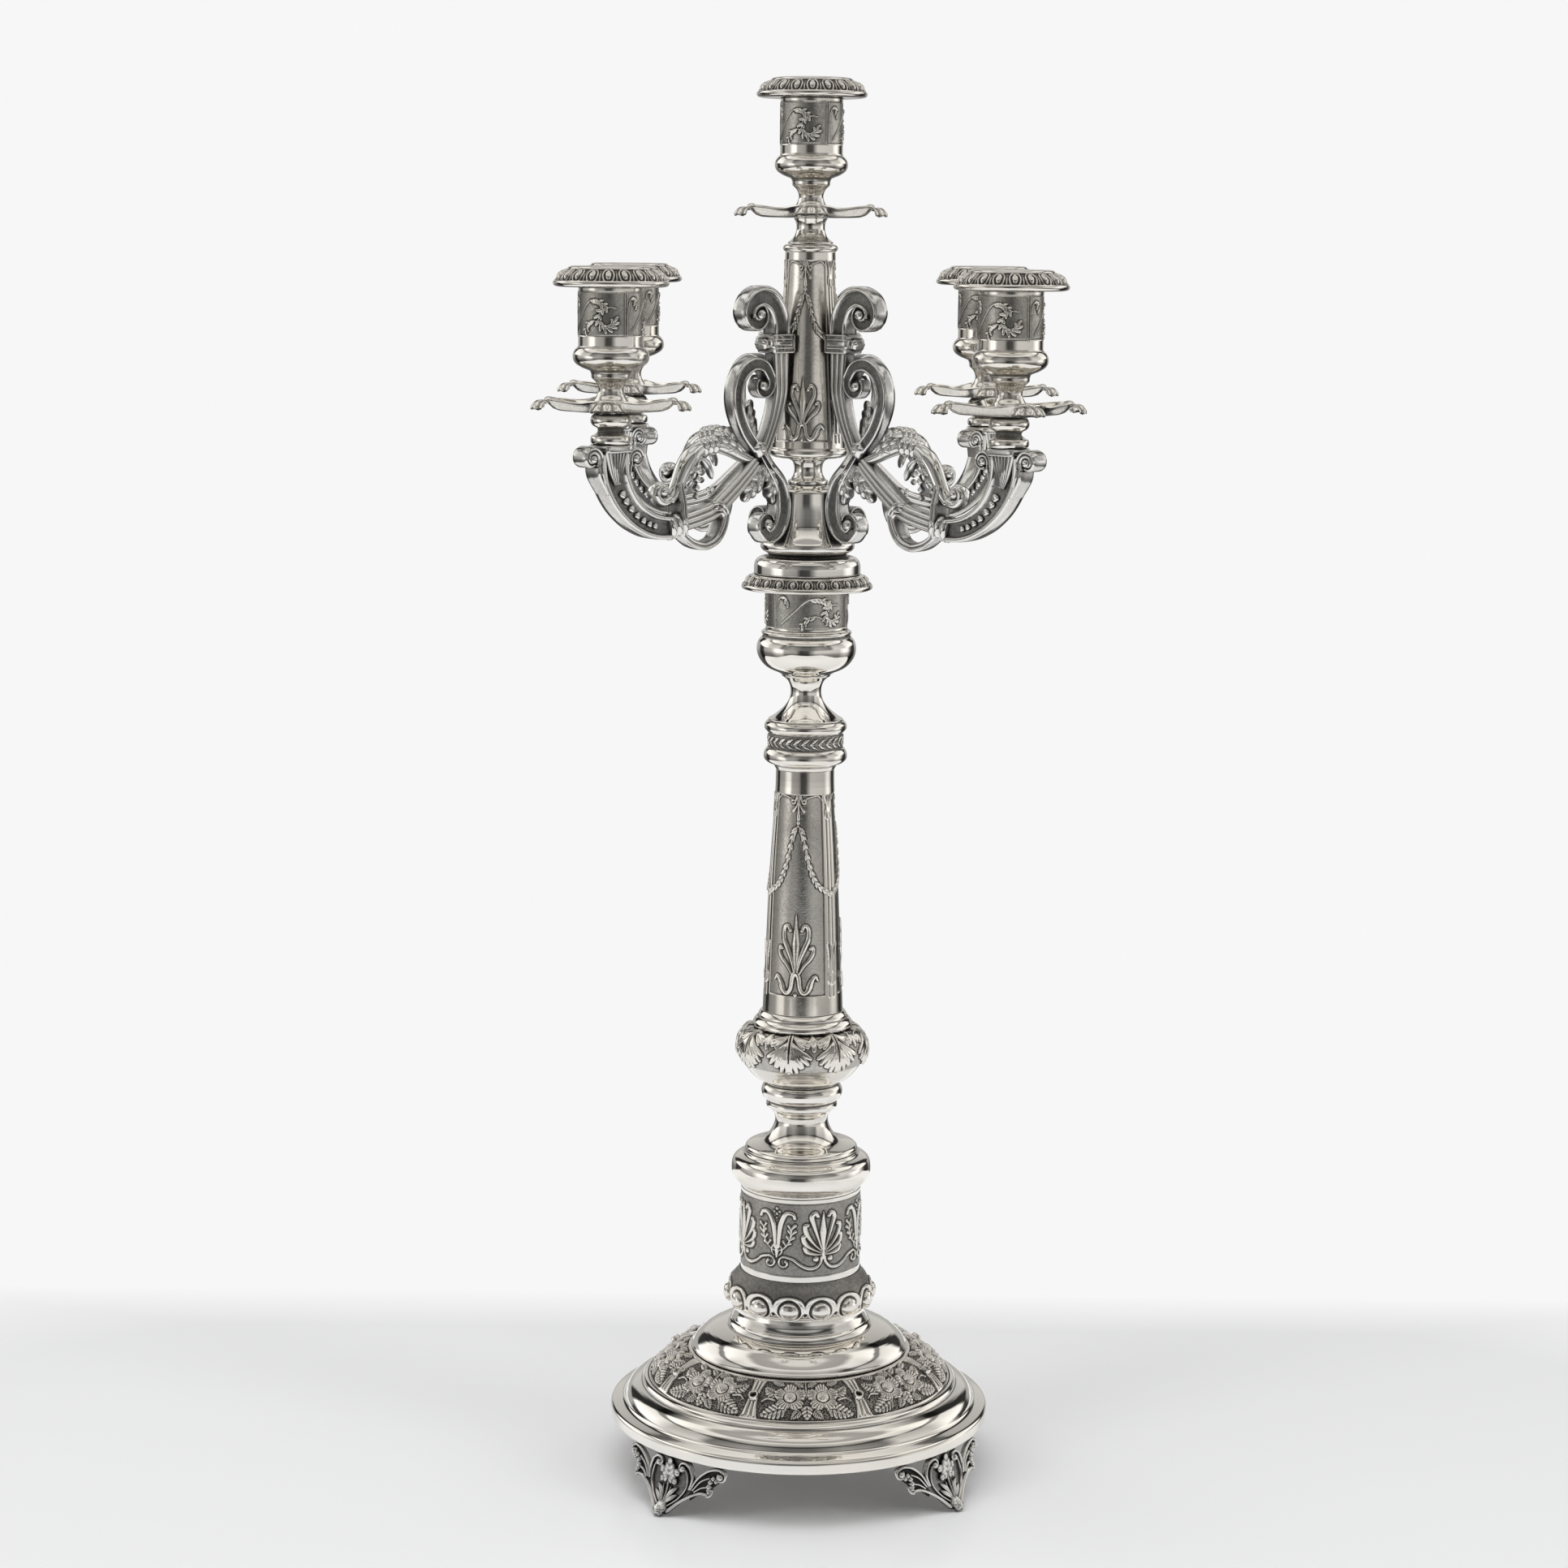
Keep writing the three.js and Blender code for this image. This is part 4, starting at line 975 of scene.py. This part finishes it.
def drip_pan(node, turn):
    """A square dish with hollow sides: a rolled wall, a knob at each corner and a scallop shell beyond it."""
    columns, rows, upper_rows = 288, 110, 58
    angle = np.arange(columns) * 2 * np.pi / columns
    edge = np.interp(np.abs((angle + np.pi / 4) % (np.pi / 2) - np.pi / 4), *PAN_EDGE)
    edge = np.fft.ifft(np.fft.fft(edge) * np.exp(-((np.fft.fftfreq(columns) * 9) ** 2) * 8)).real
    fine = np.linspace(0, len(PAN_SECTION) - 1, rows)
    line = np.stack([np.interp(fine, np.arange(len(PAN_SECTION)), part) for part in zip(*PAN_SECTION)], 1)
    line[1:-1] = (line[:-2] + 2 * line[1:-1] + line[2:]) / 4
    f, z, wave = line[:, :1], line[:, 1:2], line[:, 2:]
    r = 3.4 + (edge[None] - 3.4) * f
    # a rosette of ribbed leaves inside
    upper = (np.arange(rows) < upper_rows)[:, None]
    ribs = 0.55 * np.sin(np.pi * np.clip((f - 0.25) / 0.5, 0, 1)) ** 0.6 * np.abs(np.cos(8 * angle))[None] ** 0.6
    ribs = ribs * (1 - 0.3 * np.abs(np.cos(48 * angle))[None])
    up = z + wave * 0.7 * np.cos(4 * angle)[None] + np.where(upper, ribs, 0)
    # painted shade: the dish's underside gets a darker tone than its top, a little less dark on the outer part of its
    # rolled wall
    tone = np.where(upper, np.where((f > 0.2) & (f < 0.8), 0.35 + 0.9 * ribs, 1.0), 0.5 + 0.22 * (f > 0.55))
    casting = Casting()
    dish = np.stack([r * np.cos(angle), r * np.sin(angle), up], -1)
    casting.add(dish[::-1], tone[::-1], [grid_faces(rows, columns)])
    t, b = np.meshgrid(np.linspace(0, 1, 22), np.linspace(-1.05, 1.05, 57), indexing="ij")
    flute = np.abs(np.cos(b * 5.7))
    reach = 3.4 + 6.0 * t * (0.88 + 0.12 * flute) * np.cos(b * 0.5)
    lift = 3.7 + 0.8 * np.sin(np.pi * t) - 2.6 * t**3 + 0.5 * flute * np.sqrt(t)
    shell_top = np.stack([23.9 + reach * np.cos(b), reach * np.sin(b), lift], -1)
    shell = np.concatenate([shell_top, (shell_top - [0, 0, 0.7])[:, ::-1]], 1)
    shade = np.clip(0.3 + 0.8 * flute, 0, 1)
    v, u = ball_grid()
    ball = np.stack([25.6 + 2.0 * np.sin(v) * np.cos(u), 3.8 * np.sin(v) * np.sin(u), 4.6 + 1.5 * np.cos(v)], -1)
    for corner in (0, 90, 180, 270):
        casting.add(turned_by(shell, corner)[::-1], np.concatenate([shade, shade[:, ::-1]], 1)[::-1])
        casting.add(turned_by(ball, corner)[:, ::-1], 1.0)
    casting.build(node, lambda v: turned_by(v, turn) + [*centre_of(node), low_of(node)], CHASED)


for where in LIGHTS:
    drip_pan(f"drip_pan_{where}", 12 if where == "front_right" else 0)


# ---- scroll brackets and branches ----------------------------------------------------------------------
# Both are drawn as they stand on the +X side, [distance from the axis, height above the branch section's foot].
def bracket_casting():
    """Two C-scrolls on a reeded upright with a clasp, and a third scroll below, with leaves at their joint."""
    part = Casting()
    three, two = reeded(3), railed()
    part.band(scrolled(60, [(33, 71), (40.3, 79), (44.9, 88.6), (45.3, 97), (41.8, 104.2), (35.6, 107.6), (29.4, 106.4),
                            (25.6, 101.6)], (30.2, 98.6), 5.4, 2.4, 148, 250, 36),
              (5.2, 6.0, 6.2, 5.0, 3.0), (6, 7, 7, 6), two)
    part.knob((30.4, 98.2), 2.5, 4.4)
    part.band(scrolled(60, [(20.2, 117), (20.4, 124), (22.2, 129.6), (26, 134), (31.4, 136), (36.8, 134.2),
                            (39.6, 129.8), (38.6, 125.8)], (33.6, 128.6), 5.2, 2.8, -28, -215, 30),
              (9.0, 9.6, 8.6, 7.2, 5.6, 3.4), (8, 9, 9, 8, 7), two)
    part.knob((32.6, 128.6), 2.9, 4.8)
    part.box((13.4, 112), (27, 120.2), 11.4, 0.7)
    part.box((14.6, 114), (28, 118.2), 12.4, 0.5)
    part.knob((28.6, 116), 2.9, 3.6, bumps=6)
    part.band(curve([(20, 113), (19.8, 103), (19.8, 94.5), (22.6, 84), (26.6, 75), (29.6, 69.4)], 50),
              (9.6, 8.4, 7.2, 6.2, 5.2), (7, 7, 6.4, 6), three)
    part.leaf(curve([(33, 73), (36.4, 80), (37.4, 85), (36.4, 90)], 40), 3.4, 4.6, lobes=3)
    part.knob((32, 71.2), 4.2, 5.0, bumps=5)
    part.knob((32, 71.2), 1.9, 6.0)
    part.band(scrolled(60, [(30.6, 69), (25.2, 62), (19.6, 55), (17.8, 48.6), (18.6, 41.4), (21.8, 35.6), (26.8, 33.4),
                            (30.6, 36.2)], (27.2, 38.8), 4.4, 2.4, -36, 190, 26),
              (2.6, 3.0, 5.6, 8.2, 8.0, 6.2, 4.6, 3.2), (5.4, 6, 7, 8.4, 8.6, 8, 7), two)
    part.knob((27.2, 38.6), 3.0, 5.0)
    part.leaf(curve([(27.6, 65.4), (31.4, 59.6), (36.2, 54.6), (39.6, 49)], 44), 5.4, 7.0, lobes=4)
    part.leaf(curve([(28, 64), (24.6, 58.4), (23.6, 53), (22.4, 47)], 40), 4.2, 6.6, lobes=4)
    return part


def branch_casting():
    """A reeded bar into a fluted horn with a sunk panel, under an arched tendril and over a ribbon."""
    part = Casting()
    part.band(curve([(33.6, 65.6), (40.2, 60), (52.5, 50.5), (61.5, 45.4), (77, 41.9)], 60),
              (6.0, 7.2, 7.6, 7.4), (7, 8, 8, 8), reeded(3))
    t = np.linspace(0, 1, 46)
    part.collars(np.stack([75.7 + 9.8 * t, 41.9 - 1.8 * t], 1), 9.4, 8.6, 2.2)
    part.band(curve([(84, 40.2), (91, 40.8), (97.5, 42.6), (104.6, 46.6), (110.8, 52.6), (115.2, 60),
                     (116.8, 66), (117, 72.5)], 70),
              (9.6, 10.4, 11.0, 12.2, 14.0, 15.6, 16.4), (8, 8.6, 8.6, 9), railed())
    # volutes at both sides of the head
    part.band(scrolled(20, [(120, 56), (124.4, 63), (125.2, 68)], (129.4, 70.6), 4.9, 1.9, 215, -330, 44),
              (2.6, 3.4, 3.6, 2.6), (8.6, 9.4, 9.6, 8.4), reeded(2))
    part.knob((128.9, 70.6), 2.4, 5.3)
    part.band(scrolled(16, [(109.6, 60), (109.2, 65), (108.8, 68)], (104.6, 70), 4.5, 1.8, -30, 330, 40),
              (2.6, 3.2, 3.2, 2.4), (8.2, 8.8, 8.8, 7.8), reeded(2))
    part.knob((105, 70.2), 2.2, 4.9)
    part.band(curve([(115.4, 59.6), (116.6, 66), (116.8, 74)], 20), (3.0, 8.6, 13.4), (7.6, 9.8, 10.6),
              reeded(7, 0.22, 7))
    part.box((108.6, 72.9), (123.4, 76.15), 13, 0.6)
    # husks down the sunk panels
    for side in (-1, 1):
        rope = curve([(92, 40.9), (98, 42.8), (104.6, 46.8), (110.4, 52.8), (114, 58.4)], 24)
        for k, at in enumerate(rope[2:22:3]):
            part.knob(at, 1.25 + 0.08 * k, 1.0, depth=side * 3.1, bumps=3)
    # arched tendril with its wrapping leaf and rings
    part.band(curve([(35, 66.4), (41, 68.4), (48, 71.4), (55, 73.6), (60.5, 73.9)], 40), (4.4, 5.4, 6.2, 6.4),
              (5, 6, 6.6), oval())
    part.leaf(curve([(41, 68.6), (47, 72.4), (53, 74.4), (58.4, 75.2)], 40), 3.8, 7.4, lobes=4)
    part.collars(np.stack([56.5 + 9.5 * t, 73.9 - 1.4 * t**2], 1), 6.6, 6.6, 1.9)
    part.band(scrolled(50, [(65, 72.6), (69.6, 70.2), (73.6, 66), (77, 60.4), (80, 55.4), (83.4, 51.6)],
                       (88.2, 55.4), 5.2, 1.9, 220, 300, 40),
              (6.6, 8.2, 7.6, 6.2, 4.8, 4.4, 4.0, 3.0), (7, 8.6, 8, 7, 6.6, 7, 7, 6.4), oval(24))
    part.knob((88.4, 55.6), 2.4, 4.4)
    part.leaf(curve([(66, 72), (70.4, 67.6), (73.4, 61), (75.6, 54.4)], 44), 3.4, 9.0, lobes=5)
    part.leaf(curve([(67, 69.6), (62.6, 66.6), (60, 63.4), (58.4, 59.4)], 30), 1.9, 4.4, lobes=2)
    for k, at in enumerate([(67, 63.6), (67.4, 59.8), (67.6, 56.2), (67.7, 52.6)]):
        part.knob(at, 2.0 - 0.25 * k, 2.2 - 0.25 * k, bumps=4)
    part.band(curve([(79.4, 59), (78.4, 50), (77.6, 41), (76.6, 36.6)], 30), (3.2, 3.0, 3.0, 3.2),
              (7.6, 10.4, 10.6, 8), reeded(2))
    # ribbon under the branch, ending in a leaf on its side
    part.band(curve([(79, 39), (75.4, 35.6), (70.6, 32.8), (64.2, 31.5), (58.2, 33.4), (54.8, 38),
                     (53.2, 44), (55.2, 47.6)], 60), (3.0, 3.6, 3.8, 3.8, 3.4), (7, 7, 7.4, 9.4, 9.8), reeded(2))
    part.leaf(curve([(53.4, 41), (55, 46.6), (59, 48.4), (62.6, 45.4)], 36), 3.0, 11.0, lobes=4)
    return part


brackets, branches = bracket_casting(), branch_casting()
for where, azimuth in ARMS.items():
    for kind, casting in (("scroll_bracket", brackets), ("branch_arm", branches)):
        casting.build(f"{kind}_{where}", lambda v: turned_by(v, azimuth) + [0, 0, low_of("branch_plug")], CAST)


# ---- feet ----------------------------------------------------------------------------------------------
RIM_R, TOP, SPLAY, THICK = 85.7, 24.5, 9.4, 3.4


def foot_casting():
    """Drawn flat, [across, height], then bent round the rim and splayed to the toe. Depth is outwards."""
    part = Casting()
    line, shield = oval(12), bar_section(np.linspace(-1, 1, 9), np.ones(9))
    # the wing's plate, its lower edge and curl, and the scroll along its top
    part.band(curve([(10.6, 11.4), (15.6, 15), (20.4, 17.8), (24.4, 20.8), (26.4, 21.4)], 30),
              (7.0, 6.2, 6.8, 6.2, 4.6), 1.7, shield, depth=-0.6, shade=0.12)
    part.band(scrolled(40, [(3.4, 2.6), (7.4, 6.8), (12, 10.1), (16.4, 12.2), (20, 12.5)],
                       (21, 13.6), 1.9, 0.9, -100, 250, 18), (1.9, 1.4, 1.3), (3.2, 2.8), line, depth=0.1)
    part.band(scrolled(40, [(11.8, 12.8), (14.8, 18), (19.8, 22.2), (24.6, 23.6), (27.4, 22.6)],
                       (26.2, 20.6), 2.5, 1.3, 60, -290, 26), (1.2, 1.5, 1.5), (2.6, 3.0), line, depth=0.2)
    part.knob((21.2, 13.6), 1.0, 1.7, depth=0.2)
    part.knob((26.2, 20.6), 1.5, 2.2, depth=0.4)
    # ribs and berries of the wing
    for rib in ([(13, 12.8), (16.6, 17.2), (21, 19.6)], [(14, 12.4), (17.2, 14.6), (20.2, 15.4)]):
        part.band(curve(rib, 24), 1.0, 2.4, line, depth=0.2)
    for k, at in enumerate([(20.9, 15.9), (21.5, 17.9), (22.8, 19.6), (24.2, 18.6)]):
        part.knob(at, 1.35 - 0.08 * k, 1.9, depth=0.3, bumps=4)
    # the cartouche's two raised lines, curled in over the vine leaf
    part.band(curve([(2.6, 4.6), (7.2, 8.6), (10, 13.4), (9.9, 18), (8.4, 20.8)]), (0.8, 0.9, 0.8), 2.6, line,
              depth=0.5)
    part.band(scrolled(30, [(11.4, 13), (12.4, 17.6), (11, 21.6), (8.6, 23.4)], (7, 21.2), 2.5, 1.2, 70, 250, 20),
              (1.2, 1.5, 1.2), (2.8, 3.2), line, depth=0.4)
    part.knob((7.0, 20.9), 1.45, 2.0, depth=0.8)
    # vine: side lobes of the leaf, then the blades by its stem
    for path, wide, thick, lobes, depth in (([(0, 17.2), (2.8, 18.6), (5.6, 19)], 2.5, 2.0, 2, 1.4),
                                            ([(0.2, 16.8), (2.4, 15.4), (4.8, 14.6)], 2.0, 1.9, 2, 1.4),
                                            ([(0.5, 5.6), (2.4, 9.8), (5.6, 12.6)], 1.1, 2.0, 1, 1.0),
                                            ([(0.7, 5.2), (3.2, 7.8), (6.2, 9.8)], 1.0, 2.0, 1, 1.0)):
        part.leaf(curve(path, 24), wide, thick, lobes, depth)
    part.band(curve([(0.4, 5), (1.6, 9), (2, 12.4)], 20), (0.5, 0.9, 0.4), 1.8, line, depth=0.9)
    part.add_mirror_image()
    part.leaf(curve([(0, 16.4), (0, 20), (0, 24.4)], 28), 2.9, 2.1, lobes=3, depth=1.45)
    part.band(curve([(0, 4.4), (-0.3, 10), (0, 16.2)], 24), (0.9, 0.8), 1.8, line, depth=1.0)
    part.knob((0, 3.5), 3.1, 2.4, depth=0.9, bumps=6)
    part.knob((0, 3.5), 1.5, 3.2, depth=1.0)
    # shield behind the vine
    outline = np.array([(3.4, 1.4), (5.8, 4), (8.2, 6.6), (10.8, 9.2), (12.2, 12), (12.7, 15), (12.5, 18), (11.6, 21),
                        (10.2, 23), (9.2, 24.4)])
    z = np.linspace(1.4, 24.4, 40)
    half = np.interp(z, outline[:, 1], outline[:, 0])
    face = np.stack([half[:, None] * np.linspace(1, -1, 33), np.full((40, 33), 0.35), np.repeat(z[:, None], 33, 1)], -1)
    back = (face * [1, 0, 1] - [0, 1.3, 0])[:, ::-1]
    part.add(np.concatenate([face, back], 1), 0.4)
    part.tones = [0.78 * tones for tones in part.tones]
    return part


feet = foot_casting()
for where, azimuth in {"front_left": 229, "front_right": 319, "back_right": 49, "back_left": 139}.items():

    def place(v, azimuth=azimuth):
        radius = RIM_R - THICK / 2 + SPLAY * (1 - v[:, 2] / TOP) ** 2 + v[:, 1]
        angle = np.radians(azimuth) - v[:, 0] / RIM_R
        return np.stack([radius * np.cos(angle), radius * np.sin(angle), v[:, 2]], 1)

    feet.build(f"foot_{where}", place, CAST)

for node in ("base_washer", "base_nut", "base_tie_rod", "socket_nut", "branch_tie_rod", "branch_nut"):
    slots = frame["nodes"][node].data.materials
    slots.clear()
    slots.append(STEEL)


# ---- floor, light and camera -----------------------------------------------------------------------------
def plane(name, corners, material):
    mesh = bpy.data.meshes.new(name)
    mesh.from_pydata(corners, [], [(0, 1, 2, 3)])
    piece = bpy.data.objects.new(name, mesh)
    bpy.context.scene.collection.objects.link(piece)
    piece.data.materials.append(material)
    return piece


def floor_material():
    """A pale table whose far edge melts into a white sweep."""
    n = Nodes(bpy.data.materials.new("pale_floor"))
    where = n.node("NewGeometry").outputs["Position"]
    away = n.node("VectorMath", {0: where, 1: (0, -0.35, 0)}, operation="DISTANCE").outputs["Value"]
    back = n.node("SeparateXYZ", {"Vector": where}).outputs["Y"]
    far = n.math("MAXIMUM", n.ramp(away, 0.62, 0.78), n.ramp(back, 0.19, 0.25))
    grain_of = n.ramp(n.noise(14.0), 0.3, 0.7, -0.02, 0.02)
    n.set(Base_Color=(0.86, 0.88, 0.915, 1), Roughness=n.math("ADD", 0.24, grain_of))
    n.set(Specular_IOR_Level=0.35)
    glow = n.node("Emission", {"Color": (1, 1, 1, 1), "Strength": BACKDROP})
    blend = n.node("MixShader", {0: far, 1: n.shader.outputs[0], 2: glow.outputs[0]})
    n.tree.links.new(blend.outputs[0], n.tree.nodes["Material Output"].inputs[0])
    return n.holder


BACKDROP = 0.93
plane("floor", [(-0.8, -1.15, 0), (0.8, -1.15, 0), (0.8, 0.45, 0), (-0.8, 0.45, 0)], floor_material())


def studio():
    """A plain white backdrop for the eye. The silver mirrors a room of pale screens with dark gaps between them."""
    n = Nodes(bpy.data.worlds.new("studio"), "Background")
    bpy.context.scene.world = n.holder
    way = n.node("SeparateXYZ", {"Vector": n.node("TexCoord").outputs["Generated"]}).outputs
    behind = n.math("MULTIPLY", way["Y"], -1.0)
    share = n.ramp(n.math("ARCTAN2", way["X"], behind), -math.pi, math.pi)

    def screens(value, stops, tint=(1, 0.985, 0.96)):
        """stops: (place along the value, brightness)."""
        ramp = n.node("ValToRGB", {"Fac": value})
        points = ramp.color_ramp.elements
        while len(points) < len(stops):
            points.new(0.5)
        for point, (at, bright) in zip(points, stops):
            point.position = at
            point.color = (*(bright * part for part in tint), 1)
        return ramp.outputs["Color"]

    def turned_to(stops):
        return [(degrees / 360 + 0.5, bright) for degrees, bright in stops]

    # degrees from the front, then brightness: at eye level, and above it
    level = screens(share, turned_to([
        (-180, 0.5), (-140, 0.4), (-135, 0.04), (-119, 0.04), (-114, 0.4), (-88, 0.5), (-74, 1.3), (-60, 1.3),
        (-53, 0.45), (-24, 0.33), (-15, 0.05), (4, 0.07), (12, 0.3), (22, 0.65), (82, 0.6), (98, 1.3), (110, 1.1),
        (120, 0.35), (127, 0.04), (144, 0.04), (150, 0.4), (180, 0.5)]))
    above = screens(share, turned_to([
        (-180, 0.6), (-159, 0.55), (-156, 0.03), (-144, 0.03), (-140, 1.2), (-112, 1.2), (-96, 0.6), (-70, 0.7),
        (-62, 0.2), (-34, 0.35), (-10, 0.15), (10, 0.15), (30, 0.35), (60, 0.2), (70, 0.7), (100, 0.6),
        (114, 1.1), (138, 1.1), (143, 0.03), (155, 0.03), (159, 0.55), (180, 0.6)]))
    rise = screens(n.ramp(way["Z"], -1.0, 1.0), [
        (0.0, 0.12), (0.3, 0.16), (0.4, 0.45), (0.46, 0.9), (0.6, 1.0), (0.7, 0.85), (0.79, 0.7), (0.8, 0.2),
        (0.825, 0.2), (0.835, 1.0), (0.92, 1.0), (0.94, 0.4), (0.975, 0.45), (0.985, 0.8), (1.0, 0.8)], tint=(1, 1, 1))
    room = n.mix(n.ramp(way["Z"], 0.1, 0.16), level, above)
    room = n.mix(n.ramp(way["Z"], 0.66, 0.86), room, (0.85, 0.83, 0.8, 1))
    lit = n.node("Mix", {0: 1.0, 6: room, 7: rise}, data_type="RGBA", blend_type="MULTIPLY").outputs[2]
    seen = n.node("LightPath").outputs["Is Camera Ray"]
    n.set(Color=n.mix(seen, lit, (BACKDROP, BACKDROP, BACKDROP, 1)), Strength=n.ramp(seen, 0.0, 1.0, 1.05, 1.0))


studio()


def softbox(name, place, aim, size, power, colour=(1, 1, 1)):
    light = bpy.data.lights.new(name, "AREA")
    light.shape = "RECTANGLE"
    light.size, light.size_y = size
    light.energy = power
    light.color = colour
    made = bpy.data.objects.new(name, light)
    made.location = place
    direction = Vector(aim) - Vector(place)
    made.rotation_euler = direction.to_track_quat("-Z", "Y").to_euler()
    made.visible_glossy = False
    bpy.context.scene.collection.objects.link(made)


softbox("top", (-0.1, -0.3, 1.8), (0, 0, 0.2), (1.3, 1.0), 13, (1.0, 0.98, 0.95))
softbox("left", (-1.2, -0.9, 1.1), (0, 0, 0.3), (0.5, 1.0), 6, (1.0, 0.98, 0.94))
softbox("right", (1.3, -0.7, 0.9), (0, 0, 0.3), (0.4, 1.0), 5, (1.0, 0.985, 0.96))

camera = bpy.data.objects.new("camera", bpy.data.cameras.new("camera"))
camera.location = (-0.0093, -1.493, 0.554)
tilt, roll = math.radians(90 - 9.143), math.radians(0.54)
camera.rotation_euler = (Euler((tilt, 0, 0)).to_matrix() @ Euler((0, 0, roll)).to_matrix()).to_euler()
camera.data.sensor_width = 36
camera.data.lens = 36 * 4200 / 1932
camera.data.clip_start = 0.01
bpy.context.scene.collection.objects.link(camera)
bpy.context.scene.camera = camera
bpy.context.scene.view_settings.view_transform = "Standard"
